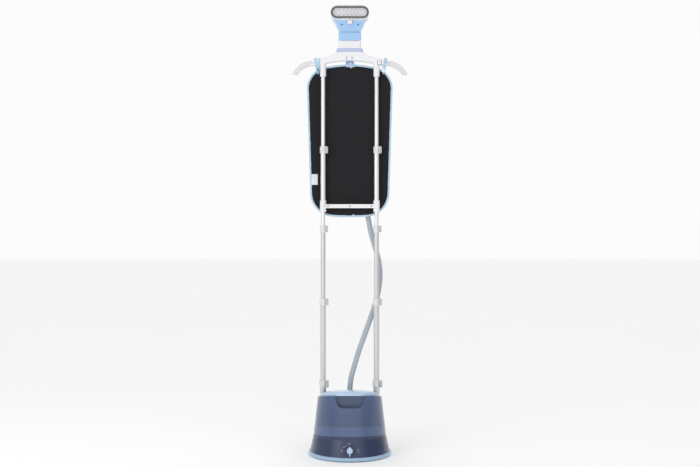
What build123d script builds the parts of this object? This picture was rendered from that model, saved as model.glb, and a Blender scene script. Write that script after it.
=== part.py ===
from build123d import *
import math
import os

os.makedirs("parts", exist_ok=True)

# A two-pole garment steamer in millimetres: +Z up, front towards -Y, origin on the floor
# at the centre of the base ring.

# Driving dimensions: base
RING_PROUD = 7.0
RING_BOTTOM = 4.0
RING_HEIGHT = 13.0
RING_WIDTH = 12.0
RING_ROUND = 5.5
SKIRT_RADIUS = 153.0
WAIST_RADIUS = 140.0
WAIST_HEIGHT = 79.0
WAIST_SLOPE = 0.094
TANK_TOP_RADIUS = 124.0
TANK_TOP_HEIGHT = 223.0
TANK_TOP_SLOPE = 0.169
WALL = 3.0
FIT = 0.05
GAP = 0.4
PLATE_THICKNESS = 3.0
PLATE_LIFT = 1.0
FOOT_SITE = 88.0
FOOT_RADIUS = 12.0
FOOT_SPIGOT = 5.0
SCREW_SITES = [(-125, -40), (125, -40), (-60, 118), (60, 118)]
PILLAR_RADIUS = 5.5
SCREW_SHANK = 1.9
SCREW_HEAD = 3.8
SCREW_HEAD_HEIGHT = 2.0
SCREW_LENGTH = 12.0
SMALL_SCREW = 3.0
# Rear column
COLUMN_RADIUS = 137.0
COLUMN_HALF_WIDTH = 122.0
COLUMN_FRONT = 36.0
COLUMN_TOP = 215.0
COLUMN_ROUND = 8.0
BOSS_WALL = 3.3
# Tank
TANK_BACK = 33.0
TANK_SEAT_GAP = 0.5
FILL_RADIUS = 40.0
FILL_CENTRE = -30.0
SCOOP_TOP_HALF = 60.0
SCOOP_BOTTOM_HALF = 44.0
SCOOP_BOTTOM = 197.0
SCOOP_BACK = -88.0
SCOOP_ROUND = 22.0
LID_RADIUS = 113.0
LID_HEIGHT = 26.0
LID_WALL = 2.5
LID_RIM = 5.0
LID_SHOULDER = 0.6
LID_SPREAD = 0.55
SPIGOT_DEPTH = 6.0
SPIGOT_WALL = 2.0
VALVE_SITE = (-75, -20)
VALVE_CAP_RADIUS = 16.0
VALVE_CAP_TOP = 98.0
VALVE_ROD = 4.0
VALVE_HEAD = 8.0
VALVE_HEAD_THICKNESS = 2.0
VALVE_TRAVEL = 4.0
SEAT_NECK = 9.7
SEAT_FLANGE = 14.0
SEAT_BOTTOM = 60.0
SEAT_BORE = 4.0
# Inside the base
HEATER_RADIUS = 42.0
HEATER_Y = -20.0
HEATER_BOTTOM = 20.0
HEATER_HEIGHT = 32.0
HEATER_POST = 5.0
HEATER_POST_HALF_PITCH = 25.0
HEATER_POST_FRONT = 15.0
HEATER_POST_BACK = 25.0
PIPE_LEVEL = 38.0
WATER_PIPE = (4.0, 2.5)
STEAM_PIPE = (6.0, 4.0)
PIPE_BEND = 12.0
STEAM_PIPE_BEND = 18.0
# Knob, dial and cord gland
KNOB_HEIGHT = 42.0
PAD_RADIUS = 22.5
PAD_DEPTH = 6.0
DIAL_SINK = 5.0
DIAL_FLOOR = 4.0
GLAND_RISE = 2.0
DIAL_RADIUS = 21.0
DIAL_THICKNESS = 1.6
KNOB_RADIUS = 12.0
KNOB_GRIP = 13.0
KNOB_POINT = 17.0
KNOB_TAIL = 20.0
KNOB_TAIL_WIDTH = 5.0
KNOB_TAPER = 6.0
DIAL_HOLE_GAP = 1.0
SHAFT_RADIUS = 3.0
SHAFT_DEPTH = 8.0
SWITCH_SIZE = 28.0
SWITCH_DEPTH = 22.0
GLAND_RADIUS = 8.0
GLAND_FLANGE = 11.0
GLAND_BORE = 3.6
GLAND_TAPER = 20.0
TERMINAL_SITE = (-30, 95)
TERMINAL_SIZE = (40.0, 18.0, 14.0)
TERMINAL_PITCH = 12.0
TERMINAL_DEPTH = 8.0
# Mast
MAST_X = 105.0
MAST_Y = 60.0
BASE_TUBE = 12.5
TUBE_WALL = 1.2
SLIDE_GAP = 0.3
BASE_CLAMP_Z = 263.5
LOWER_CLAMP_Z = 584.6
MIDDLE_CLAMP_Z = 870.7
BOARD_CLAMP_Z = 1181.2
LOWER_TUBE_BOTTOM = 222.0
MIDDLE_TUBE_BOTTOM = 548.0
UPPER_TUBE_BOTTOM = 800.0
HANGER_TUBE_BOTTOM = 1147.0
CUP_WALL = 3.5
CUP_HEIGHT = 14.0
CLAMP_HEIGHT = 27.0
CLAMP_WALL = 3.0
CLAMP_LIP = 3.5
CLAMP_FLARE = 1.2
LUG_HALF = 5.0
LUG_REACH = 3.6
SLIT = 1.2
EAR_THICKNESS = 3.5
EAR_RADIUS = 3.7
TRUNNION = 1.8
LEVER_THICKNESS = 3.0
LEVER_REACH = 7.0
LEVER_BACK = 13.5
LEVER_CHAMFER = 2.7
PIN_OUTSET = 0.5
PIN_INSET = 1.0
CROSSBAR_Z = 960.3
CROSSBAR_HEIGHT = 15.6
CROSSBAR_DEPTH = 11.0
SOCKET_WALL = 2.9
SOCKET_LENGTH = 46.0
SOCKET_WEB = 5.0
CROSSBAR_SCREW_X = 85.0
# Hanger
HANGER_FRONT = 48.0
HANGER_BACK = 73.0
HANGER_TOP = 1566.0
HANGER_NECK_HALF = 52.0
SHOULDER_X = 152.0
SHOULDER_TOP = 1531.5
SHOULDER_BOTTOM = 1511.5
ARCH_HEIGHT = 1531.0
NECK_MID = (80.0, 1549.0)
ARCH_MID = (60.0, 1526.0)
ARCH_RISE = 1.0
FLARE_POINT = (118.0, 1541.0)
POLE_SOCKET_BOTTOM = 1468.0
POLE_SOCKET_BORE_TOP = 1513.0
POLE_SOCKET_WALL = 4.2
TRIM_HEIGHT = 11.0
TRIM_FRONT = 44.0
TRIM_BACK = 90.0
NECK_HALF = 40.0
DOCK_HALF = 44.0
DOCK_FRONT = 46.0
DOCK_BACK = 94.0
DOCK_CUP_HEIGHT = 32.0
DOCK_COLLAR_HEIGHT = 31.0
DOCK_ROUND = 6.0
ARM_PIVOT = (146.0, 1521.5)
ARM_ROOT = 9.5
ARM_FRONT = 53.4
ARM_BACK = 67.6
ARM_PIN = 3.0
ARM_SLOT_GAP = 1.0
NECK_SIDE_STEP = 1.0
ARM_TIP_OUTER = (226.0, 1477.0)
ARM_TIP_INNER = (207.0, 1474.0)
ARM_TOP_MID = (196.0, 1515.0)
ARM_BOTTOM_MID = (182.0, 1499.0)
# Board
BOARD_HALF = 171.0
BOARD_LOW_HALF = 154.0
BOARD_SHOULDER = 1485.0
BOARD_TOP = 1520.0
BOARD_LOW = 930.0
BOARD_BOTTOM = 917.0
BOARD_TOP_ROUND = 85.0
BOARD_LOW_ROUND = 95.0
BOARD_FRONT = 76.0
BINDING_THICKNESS = 10.0
BINDING_WIDTH = 8.0
PANEL_THICKNESS = 8.0
LOOP_X = 128.0
LOOP_WIDTH = 14.0
LOOP_THICKNESS = 1.6
LOOP_BOTTOM = 1474.0
LOOP_RISE = 12.0
LOOP_FRONT_DROP = 6.0
LOOP_BACK_DROP = 12.0
HOOK_THICKNESS = 6.0
HOOK_ROUND = 6.0
HOOK_HALF = 19.0
HOOK_BOTTOM = 1500.0
HOOK_TOP = 1527.0
# Steam head
HANDLE_Y = 108.0
HANDLE_RADIUS = 17.0
HANDLE_BOTTOM = 1400.0
HOSE_END = 1440.0
HEAD_FRONT = 44.0
HEAD_BACK = 126.0
HEAD_TOP = 1746.0
HEAD_BOTTOM = 1580.4
HEAD_NECK_HALF = 36.0
HEAD_NECK_TOP = 1638.0
HEAD_WALL = 3.0
FACE_Z = 1716.6
FACE_HALF_WIDTH = 76.0
FACE_HALF_HEIGHT = 29.0
FACE_THICKNESS = 6.0
FACE_MARGIN = 2.0
HEAD_SHOULDER_RISE = 4.0
HEAD_FRONT_LIP = 4.0
CROWN_FRONT = 70.0
CROWN_MID = (108.0, 1722.0)
CROWN_END = 1650.0
STEAM_HOLE = 1.8
HOLE_PITCH = 16.0
HOLE_ROWS = 18.0
HOLE_COUNT = 6
FACE_RIM = 1.0
CLIP_OVERLAP = 2.0
BRUSH_HALF_WIDTH = 74.0
BRUSH_HALF_HEIGHT = 23.0
BRUSH_RIM = 6.5
BRUSH_THICKNESS = 8.0
CLIP_HALF = 8.5
CLIP_DROP = 45.0
CLIP_THICKNESS = 2.5
BRISTLE_RADIUS = 1.4
BRISTLE_LENGTH = 10.0
BRISTLE_PITCH = 6.0
CUFF_BOTTOM = 1366.0
CUFF_RADIUS = 16.0
CUFF_TIP = 13.0
# Hose
HOSE_RADIUS = 10.5
HOSE_SOCKET_Y = 64.0
HOSE_START = 218.0
HOSE_SOCKET_TOP = 236.0
HOSE_FLANGE_WALL = 9.0
HOSE_COLLAR_WALL = 5.0
HOSE_COLLAR_TAPER = 4.0
HOSE_SPIGOT_DEPTH = 12.0
HOSE_ROUTE = [
    (0, 64, 218),
    (0, 64, 270),
    (17, 69, 330),
    (37, 77, 395),
    (65, 86, 470),
    (97, 93, 560),
    (118, 97, 640),
    (121, 98, 715),
    (105, 100, 785),
    (85, 102, 848),
    (72, 104, 918),
    (62, 107, 990),
    (46, 109, 1075),
    (25, 110, 1157),
    (8, 109, 1240),
    (0, 108, 1340),
    (0, 108, 1440),
]

# Sizes that follow from the others
RING_RADIUS = SKIRT_RADIUS + RING_PROUD
LOWER_TUBE = BASE_TUBE - TUBE_WALL - SLIDE_GAP
MIDDLE_TUBE = LOWER_TUBE - TUBE_WALL - SLIDE_GAP
UPPER_TUBE = MIDDLE_TUBE - TUBE_WALL - SLIDE_GAP
CUP_RADIUS = BASE_TUBE + CUP_WALL
SOCKET_RADIUS = MIDDLE_TUBE + SOCKET_WALL
POLE_SOCKET_RADIUS = UPPER_TUBE + POLE_SOCKET_WALL
PLATE_BOTTOM = RING_BOTTOM + PLATE_LIFT
PLATE_TOP = PLATE_BOTTOM + PLATE_THICKNESS
PLATE_RADIUS = RING_RADIUS - RING_WIDTH - SLIDE_GAP
SKIRT_BOTTOM = RING_BOTTOM + RING_HEIGHT
SKIRT_SLOPE = (SKIRT_RADIUS - WAIST_RADIUS) / (WAIST_HEIGHT - SKIRT_BOTTOM)
TANK_SLOPE = (WAIST_RADIUS - TANK_TOP_RADIUS) / (TANK_TOP_HEIGHT - WAIST_HEIGHT)
CONE_TOP = TANK_TOP_HEIGHT + TANK_TOP_RADIUS * TANK_TOP_SLOPE + WALL
CONE_TOP_RADIUS = WAIST_RADIUS - TANK_SLOPE * (CONE_TOP - WAIST_HEIGHT)
MAST_SITES = [(-MAST_X, MAST_Y), (MAST_X, MAST_Y)]
SIDES = {"left": -1, "right": 1}
HOSE_SITE = (0, HOSE_SOCKET_Y)
TRIM_TOP = HANGER_TOP + TRIM_HEIGHT
COLLAR_BOTTOM = TRIM_TOP + DOCK_CUP_HEIGHT
FACE_FRONT = HEAD_FRONT - FACE_THICKNESS
BRUSH_FRONT = FACE_FRONT - BRUSH_THICKNESS


def climbing(height, slope):
    """The plane at this height over the origin that climbs towards the front."""
    return Plane.XY.offset(height).rotated((-math.degrees(math.atan(slope)), 0, 0))


def base_cone(inset, bottom):
    """The base's outer shape as a solid, inset by a wall and cut level at the bottom."""
    bottom_radius = SKIRT_RADIUS + SKIRT_SLOPE * (SKIRT_BOTTOM - bottom)
    with BuildPart() as cone:
        with BuildSketch(Plane.XZ):
            with BuildLine():
                Polyline(
                    (0, bottom),
                    (bottom_radius - inset, bottom),
                    (WAIST_RADIUS - inset, WAIST_HEIGHT),
                    (CONE_TOP_RADIUS - inset, CONE_TOP),
                    (0, CONE_TOP),
                    close=True,
                )
            make_face()
        revolve(axis=Axis.Z)
    return cone.part


DECK = climbing(WAIST_HEIGHT, WAIST_SLOPE)
TANK_ROOF = climbing(TANK_TOP_HEIGHT, TANK_TOP_SLOPE)
KNOB_TILT = math.atan(SKIRT_SLOPE)
KNOB_OUT = SKIRT_RADIUS - SKIRT_SLOPE * (KNOB_HEIGHT - SKIRT_BOTTOM)
KNOB_PLANE = Plane(
    origin=(0, -KNOB_OUT, KNOB_HEIGHT),
    x_dir=(1, 0, 0),
    z_dir=(0, -math.cos(KNOB_TILT), math.sin(KNOB_TILT)),
)
GLAND_PLANE = Plane(
    origin=(0, KNOB_OUT, KNOB_HEIGHT),
    x_dir=(-1, 0, 0),
    z_dir=(0, math.cos(KNOB_TILT), math.sin(KNOB_TILT)),
)

# Base plate: a disc with two cups for the base tubes and three posts for the heater
HEATER_POSTS = [
    (-HEATER_POST_HALF_PITCH, HEATER_Y - HEATER_POST_FRONT),
    (HEATER_POST_HALF_PITCH, HEATER_Y - HEATER_POST_FRONT),
    (0, HEATER_Y + HEATER_POST_BACK),
]
FOOT_SITES = [(x, y) for x in (-FOOT_SITE, FOOT_SITE) for y in (-FOOT_SITE, FOOT_SITE)]
with BuildPart() as base_plate:
    with BuildSketch(Plane.XY.offset(PLATE_BOTTOM)):
        Circle(PLATE_RADIUS)
    extrude(amount=PLATE_THICKNESS)
    with BuildSketch(Plane.XY.offset(PLATE_TOP)):
        with Locations(MAST_SITES):
            Circle(CUP_RADIUS)
            Circle(BASE_TUBE + FIT, mode=Mode.SUBTRACT)
    extrude(amount=CUP_HEIGHT)
    with BuildSketch(Plane.XY.offset(PLATE_TOP)):
        with Locations(HEATER_POSTS):
            Circle(HEATER_POST)
    extrude(amount=HEATER_BOTTOM - PLATE_TOP)
    with BuildSketch(Plane.XY.offset(PLATE_BOTTOM)):
        with Locations(FOOT_SITES):
            Circle(FOOT_SPIGOT + FIT)
        with Locations(SCREW_SITES):
            Circle(SCREW_SHANK + FIT)
    extrude(amount=PLATE_THICKNESS, mode=Mode.SUBTRACT)
base_plate.part.label = "base_plate"
export_step(base_plate.part, "parts/base_plate.step")

# Bumper ring round the foot of the base
with BuildPart() as base_ring:
    with BuildSketch(Plane.XZ) as ring_profile:
        with Locations((RING_RADIUS - RING_WIDTH / 2, RING_BOTTOM + RING_HEIGHT / 2)):
            Rectangle(RING_WIDTH, RING_HEIGHT)
        fillet(ring_profile.vertices().group_by(Axis.X)[-1], radius=RING_ROUND)
    revolve(axis=Axis.Z)
base_ring.part.label = "base_ring"
export_step(base_ring.part, "parts/base_ring.step")

# Lower housing: the flared skirt with the deck that the tank and the column stand on
with BuildPart() as housing_space:
    add(base_cone(WALL, SKIRT_BOTTOM - 1))
    split(bisect_by=DECK.offset(-WALL), keep=Keep.BOTTOM)
    with BuildSketch(Plane.XY.offset(PLATE_TOP)):
        with Locations(SCREW_SITES):
            Circle(PILLAR_RADIUS)
    extrude(amount=WAIST_HEIGHT * 2, mode=Mode.SUBTRACT)
with BuildPart() as lower_housing:
    add(base_cone(0, SKIRT_BOTTOM))
    split(bisect_by=DECK, keep=Keep.BOTTOM)
    add(housing_space.part, mode=Mode.SUBTRACT)
    with BuildSketch(Plane.XY.offset(PLATE_TOP)):
        with Locations(SCREW_SITES):
            Circle(PILLAR_RADIUS)
    extrude(amount=SKIRT_BOTTOM - PLATE_TOP)
    with BuildSketch(KNOB_PLANE.offset(-DIAL_SINK - DIAL_FLOOR)):
        Circle(PAD_RADIUS + GLAND_RISE)
    extrude(amount=DIAL_SINK + DIAL_FLOOR)
    with BuildSketch(KNOB_PLANE.offset(-DIAL_SINK)):
        Circle(PAD_RADIUS)
    extrude(amount=2 * DIAL_SINK, mode=Mode.SUBTRACT)
    with BuildSketch(KNOB_PLANE.offset(-DIAL_SINK - DIAL_FLOOR)):
        Circle(SHAFT_RADIUS + 1)
    extrude(amount=DIAL_FLOOR, mode=Mode.SUBTRACT)
    with BuildSketch(GLAND_PLANE.offset(-PAD_DEPTH)):
        Circle(GLAND_FLANGE + GLAND_RISE)
    extrude(amount=PAD_DEPTH + GLAND_RISE)
    with BuildSketch(GLAND_PLANE.offset(-PAD_DEPTH)):
        Circle(GLAND_RADIUS + FIT)
    extrude(amount=PAD_DEPTH + GLAND_RISE, mode=Mode.SUBTRACT)
    with BuildSketch(Plane.XY.offset(WAIST_HEIGHT / 2)):
        with Locations(MAST_SITES):
            Circle(BASE_TUBE + SLIDE_GAP)
        with Locations(VALVE_SITE):
            Circle(SEAT_NECK + SLIDE_GAP)
        with Locations(HOSE_SITE):
            Circle(STEAM_PIPE[0] + 2)
    extrude(amount=WAIST_HEIGHT, mode=Mode.SUBTRACT)
    with BuildSketch(Plane.XY.offset(PLATE_TOP)):
        with Locations(SCREW_SITES):
            Circle(SCREW_SHANK + FIT)
    extrude(amount=SCREW_LENGTH, mode=Mode.SUBTRACT)
lower_housing.part.label = "lower_housing"
export_step(lower_housing.part, "parts/lower_housing.step")


def column_block(inset, top):
    """The rear column's outer shape, inset by a wall."""
    with BuildPart() as block:
        with BuildSketch(Plane.XY.offset(WAIST_HEIGHT / 2)):
            Circle(COLUMN_RADIUS - inset)
            with Locations((0, COLUMN_FRONT + inset + COLUMN_RADIUS)):
                Rectangle(2 * (COLUMN_HALF_WIDTH - inset), 2 * COLUMN_RADIUS, mode=Mode.INTERSECT)
        extrude(amount=top - WAIST_HEIGHT / 2)
        split(bisect_by=DECK, keep=Keep.TOP)
    return block.part


# Rear column: the hollow tower behind the tank, with a boss round each base tube
with BuildPart() as column_space:
    add(column_block(WALL, COLUMN_TOP - WALL))
    with BuildSketch(Plane.XY):
        with Locations(MAST_SITES):
            Circle(BASE_TUBE + BOSS_WALL)
    extrude(amount=COLUMN_TOP, mode=Mode.SUBTRACT)
with BuildPart() as rear_column:
    add(column_block(0, COLUMN_TOP))
    fillet(rear_column.edges().group_by(Axis.Z)[-1], radius=COLUMN_ROUND)
    add(column_space.part, mode=Mode.SUBTRACT)
    with BuildSketch(Plane.XY):
        with Locations(MAST_SITES):
            Circle(BASE_TUBE + FIT)
    extrude(amount=COLUMN_TOP, mode=Mode.SUBTRACT)
    with BuildSketch(Plane.XY.offset(COLUMN_TOP - 2 * WALL)):
        with Locations(HOSE_SITE):
            Circle(HOSE_RADIUS)
    extrude(amount=2 * WALL, mode=Mode.SUBTRACT)
rear_column.part.label = "rear_column"
export_step(rear_column.part, "parts/rear_column.step")

# Rubber feet, pushed into the base plate
with BuildPart() as rubber_feet:
    with BuildSketch(Plane.XY):
        with Locations(FOOT_SITES):
            Circle(FOOT_RADIUS)
    extrude(amount=PLATE_BOTTOM)
    with BuildSketch(Plane.XY.offset(PLATE_BOTTOM)):
        with Locations(FOOT_SITES):
            Circle(FOOT_SPIGOT)
    extrude(amount=PLATE_THICKNESS)
rubber_feet.part.label = "rubber_feet"
export_step(rubber_feet.part, "parts/rubber_feet.step")

# Screws that hold the base plate to the housing's pillars
with BuildPart() as base_screws:
    with BuildSketch(Plane.XY.offset(PLATE_BOTTOM - SCREW_HEAD_HEIGHT)):
        with Locations(SCREW_SITES):
            Circle(SCREW_HEAD)
    extrude(amount=SCREW_HEAD_HEIGHT)
    with BuildSketch(Plane.XY.offset(PLATE_BOTTOM)):
        with Locations(SCREW_SITES):
            Circle(SCREW_SHANK)
    extrude(amount=SCREW_LENGTH)
base_screws.part.label = "base_screws"
export_step(base_screws.part, "parts/base_screws.step")

# Tank seat: the grommet in the deck under the tank's valve
with BuildPart() as seat_neck:
    with BuildSketch(Plane.XY.offset(SEAT_BOTTOM)):
        with Locations(VALVE_SITE):
            Circle(SEAT_NECK)
    extrude(amount=WAIST_HEIGHT)
    split(bisect_by=DECK, keep=Keep.BOTTOM)
with BuildPart() as tank_seat:
    with BuildSketch(Plane.XY.offset(SEAT_BOTTOM)):
        with Locations(VALVE_SITE):
            Circle(SEAT_FLANGE)
    extrude(amount=WAIST_HEIGHT)
    split(bisect_by=DECK.offset(-WALL), keep=Keep.BOTTOM)
    add(seat_neck.part)
    with BuildSketch(Plane.XY.offset(SEAT_BOTTOM)):
        with Locations(VALVE_SITE):
            Circle(SEAT_BORE)
    extrude(amount=WAIST_HEIGHT, mode=Mode.SUBTRACT)
tank_seat.part.label = "tank_seat"
export_step(tank_seat.part, "parts/tank_seat.step")

# Heater block
with BuildPart() as heater_block:
    with BuildSketch(Plane.XY.offset(HEATER_BOTTOM)):
        with Locations((0, HEATER_Y)):
            Circle(HEATER_RADIUS)
    extrude(amount=HEATER_HEIGHT)
    fillet(heater_block.edges().filter_by(GeomType.CIRCLE), radius=WALL)
heater_block.part.label = "heater_block"
export_step(heater_block.part, "parts/heater_block.step")

# Water pipe from the seat to the heater, and steam pipe from the heater to the hose socket
valve_x, valve_y = VALVE_SITE
water_path = FilletPolyline(
    (valve_x, valve_y, SEAT_BOTTOM),
    (valve_x, valve_y, PIPE_LEVEL),
    (-HEATER_RADIUS, valve_y, PIPE_LEVEL),
    radius=PIPE_BEND,
)
with BuildPart() as water_pipe:
    with BuildSketch(Plane(water_path @ 0, z_dir=water_path % 0)):
        Circle(WATER_PIPE[0])
        Circle(WATER_PIPE[1], mode=Mode.SUBTRACT)
    sweep(path=water_path)
water_pipe.part.label = "water_pipe"
export_step(water_pipe.part, "parts/water_pipe.step")

steam_path = FilletPolyline(
    (0, HEATER_Y + HEATER_RADIUS, PIPE_LEVEL),
    (0, HOSE_SOCKET_Y, PIPE_LEVEL),
    (0, HOSE_SOCKET_Y, COLUMN_TOP - HOSE_SPIGOT_DEPTH),
    radius=STEAM_PIPE_BEND,
)
with BuildPart() as steam_pipe:
    with BuildSketch(Plane(steam_path @ 0, z_dir=steam_path % 0)):
        Circle(STEAM_PIPE[0])
        Circle(STEAM_PIPE[1], mode=Mode.SUBTRACT)
    sweep(path=steam_path)
steam_pipe.part.label = "steam_pipe"
export_step(steam_pipe.part, "parts/steam_pipe.step")

# Rotary switch behind the knob, terminal block, cord gland
SWITCH_FACE = KNOB_PLANE.offset(-DIAL_SINK - DIAL_FLOOR)
with BuildPart() as rotary_switch:
    with BuildSketch(SWITCH_FACE):
        Rectangle(SWITCH_SIZE, SWITCH_SIZE)
    extrude(amount=-SWITCH_DEPTH)
    with BuildSketch(SWITCH_FACE):
        Circle(SHAFT_RADIUS + FIT)
    extrude(amount=-(SHAFT_DEPTH + WALL), mode=Mode.SUBTRACT)
rotary_switch.part.label = "rotary_switch"
export_step(rotary_switch.part, "parts/rotary_switch.step")

with BuildPart() as terminal_block:
    with BuildSketch(Plane.XY.offset(PLATE_TOP)):
        with Locations(TERMINAL_SITE):
            Rectangle(TERMINAL_SIZE[0], TERMINAL_SIZE[1])
    extrude(amount=TERMINAL_SIZE[2])
    with Locations(terminal_block.faces().sort_by(Axis.Z)[-1]):
        with GridLocations(TERMINAL_PITCH, 0, 3, 1):
            Hole(SMALL_SCREW, depth=TERMINAL_DEPTH)
terminal_block.part.label = "terminal_block"
export_step(terminal_block.part, "parts/terminal_block.step")

with BuildPart() as cord_gland:
    with BuildSketch(GLAND_PLANE.offset(-PAD_DEPTH - WALL)):
        Circle(GLAND_RADIUS)
    extrude(amount=PAD_DEPTH + GLAND_RISE + WALL)
    with BuildSketch(GLAND_PLANE.offset(GLAND_RISE)):
        Circle(GLAND_FLANGE)
    extrude(amount=WALL, taper=GLAND_TAPER)
    with BuildSketch(GLAND_PLANE.offset(-PAD_DEPTH - WALL)):
        Circle(GLAND_BORE)
    extrude(amount=PAD_DEPTH + GLAND_RISE + 2 * WALL, mode=Mode.SUBTRACT)
cord_gland.part.label = "cord_gland"
export_step(cord_gland.part, "parts/cord_gland.step")

# Dial plate and control knob
with BuildPart() as dial_plate:
    with BuildSketch(KNOB_PLANE.offset(-DIAL_SINK)):
        Circle(DIAL_RADIUS)
        Circle(SHAFT_RADIUS + DIAL_HOLE_GAP, mode=Mode.SUBTRACT)
    extrude(amount=DIAL_THICKNESS)
dial_plate.part.label = "dial_plate"
export_step(dial_plate.part, "parts/dial_plate.step")

KNOB_FOOT = KNOB_PLANE.offset(DIAL_THICKNESS + GAP - DIAL_SINK)
with BuildPart() as control_knob:
    with BuildSketch(KNOB_FOOT):
        Circle(KNOB_RADIUS)
        with BuildLine():
            Polyline(
                (-KNOB_RADIUS * math.cos(math.pi / 6), KNOB_RADIUS / 2),
                (0, KNOB_POINT),
                (KNOB_RADIUS * math.cos(math.pi / 6), KNOB_RADIUS / 2),
                close=True,
            )
        make_face()
    extrude(amount=KNOB_GRIP, taper=KNOB_TAPER)
    with BuildSketch(KNOB_FOOT):
        with Locations((0, -(KNOB_TAIL + KNOB_RADIUS / 2) / 2)):
            RectangleRounded(KNOB_TAIL_WIDTH, KNOB_TAIL - KNOB_RADIUS / 2, KNOB_TAIL_WIDTH / 2.1)
    extrude(amount=KNOB_GRIP / 2)
    with BuildSketch(KNOB_FOOT):
        Circle(SHAFT_RADIUS)
    extrude(amount=-(DIAL_FLOOR + DIAL_THICKNESS + GAP + SHAFT_DEPTH))
control_knob.part.label = "control_knob"
export_step(control_knob.part, "parts/control_knob.step")

# Hose socket on top of the column
with BuildPart() as hose_socket:
    with BuildSketch(Plane.XY.offset(COLUMN_TOP)):
        with Locations(HOSE_SITE):
            Circle(HOSE_RADIUS + HOSE_FLANGE_WALL)
    extrude(amount=HOSE_START - COLUMN_TOP)
    with BuildSketch(Plane.XY.offset(HOSE_START)):
        with Locations(HOSE_SITE):
            Circle(HOSE_RADIUS + HOSE_COLLAR_WALL)
    extrude(amount=HOSE_SOCKET_TOP - HOSE_START, taper=HOSE_COLLAR_TAPER)
    with BuildSketch(Plane.XY.offset(COLUMN_TOP)):
        with Locations(HOSE_SITE):
            Circle(HOSE_RADIUS - SLIDE_GAP)
    extrude(amount=-HOSE_SPIGOT_DEPTH)
    with BuildSketch(Plane.XY.offset(COLUMN_TOP - HOSE_SPIGOT_DEPTH)):
        with Locations(HOSE_SITE):
            Circle(STEAM_PIPE[1])
    extrude(amount=HOSE_START - COLUMN_TOP + HOSE_SPIGOT_DEPTH, mode=Mode.SUBTRACT)
    with BuildSketch(Plane.XY.offset(HOSE_START)):
        with Locations(HOSE_SITE):
            Circle(HOSE_RADIUS + SLIDE_GAP)
    extrude(amount=HOSE_SOCKET_TOP - HOSE_START, mode=Mode.SUBTRACT)
hose_socket.part.label = "hose_socket"
export_step(hose_socket.part, "parts/hose_socket.step")


def tank_block(inset, roof):
    """The tank's outer shape, inset by a wall, up to this height under the roof."""
    with BuildPart() as block:
        add(base_cone(inset, SKIRT_BOTTOM))
        split(bisect_by=DECK.offset(TANK_SEAT_GAP + inset), keep=Keep.TOP)
        split(bisect_by=TANK_ROOF.offset(-roof), keep=Keep.BOTTOM)
        split(bisect_by=Plane.XZ.offset(inset - TANK_BACK), keep=Keep.TOP)
    return block.part


def scoop_block(grow):
    """The finger recess in the tank's front, or the walled block round it."""
    with BuildPart() as block:
        with BuildSketch(Plane.XZ.offset(-SCOOP_BACK - grow)) as outline:
            with BuildLine():
                Polyline(
                    (-SCOOP_BOTTOM_HALF - grow, SCOOP_BOTTOM - grow),
                    (SCOOP_BOTTOM_HALF + grow, SCOOP_BOTTOM - grow),
                    (SCOOP_TOP_HALF + grow, CONE_TOP + WALL),
                    (-SCOOP_TOP_HALF - grow, CONE_TOP + WALL),
                    close=True,
                )
            make_face()
            fillet(outline.vertices().group_by(Axis.Y)[0], radius=SCOOP_ROUND + grow)
        extrude(amount=WAIST_RADIUS + SCOOP_BACK + 2 * WALL)
    return block.part


# Water tank: a D-shaped shell with a finger recess, a filling mouth and a valve hole
with BuildPart() as tank_space:
    add(tank_block(WALL, WALL))
    add(scoop_block(WALL), mode=Mode.SUBTRACT)
with BuildPart() as water_tank:
    add(tank_block(0, 0))
    add(scoop_block(0), mode=Mode.SUBTRACT)
    add(tank_space.part, mode=Mode.SUBTRACT)
    with BuildSketch(Plane.XY.offset(SCOOP_BOTTOM)):
        with Locations((0, FILL_CENTRE)):
            Circle(FILL_RADIUS)
    extrude(amount=CONE_TOP - SCOOP_BOTTOM, mode=Mode.SUBTRACT)
    with BuildSketch(Plane.XY.offset(SEAT_BOTTOM)):
        with Locations(VALVE_SITE):
            Circle(VALVE_CAP_RADIUS + SLIDE_GAP)
    extrude(amount=VALVE_CAP_TOP - SEAT_BOTTOM, mode=Mode.SUBTRACT)
water_tank.part.label = "water_tank"
export_step(water_tank.part, "parts/water_tank.step")

# Tank lid: a flattened dome on a low rim, cut straight at the back, with a spigot in the filling mouth
LID_SECTION = Plane(origin=TANK_ROOF.origin, x_dir=(1, 0, 0), z_dir=-TANK_ROOF.y_dir)
LID_AXIS = Axis(TANK_ROOF.origin, TANK_ROOF.z_dir)


def lid_dome(inset):
    """The dome's outer shape, inset by the lid's wall."""
    edge = LID_RADIUS - inset
    crown = LID_HEIGHT - inset
    shoulder = LID_RIM + LID_SHOULDER * (crown - LID_RIM)
    with BuildPart() as dome:
        with BuildSketch(LID_SECTION):
            with BuildLine():
                Polyline((0, crown), (0, 0), (edge, 0), (edge, LID_RIM))
                Bezier((edge, LID_RIM), (edge, shoulder), (edge * LID_SPREAD, crown), (0, crown))
            make_face()
        revolve(axis=LID_AXIS)
        split(bisect_by=Plane.XZ.offset(WALL / 2 + inset - TANK_BACK), keep=Keep.TOP)
    return dome.part


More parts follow.
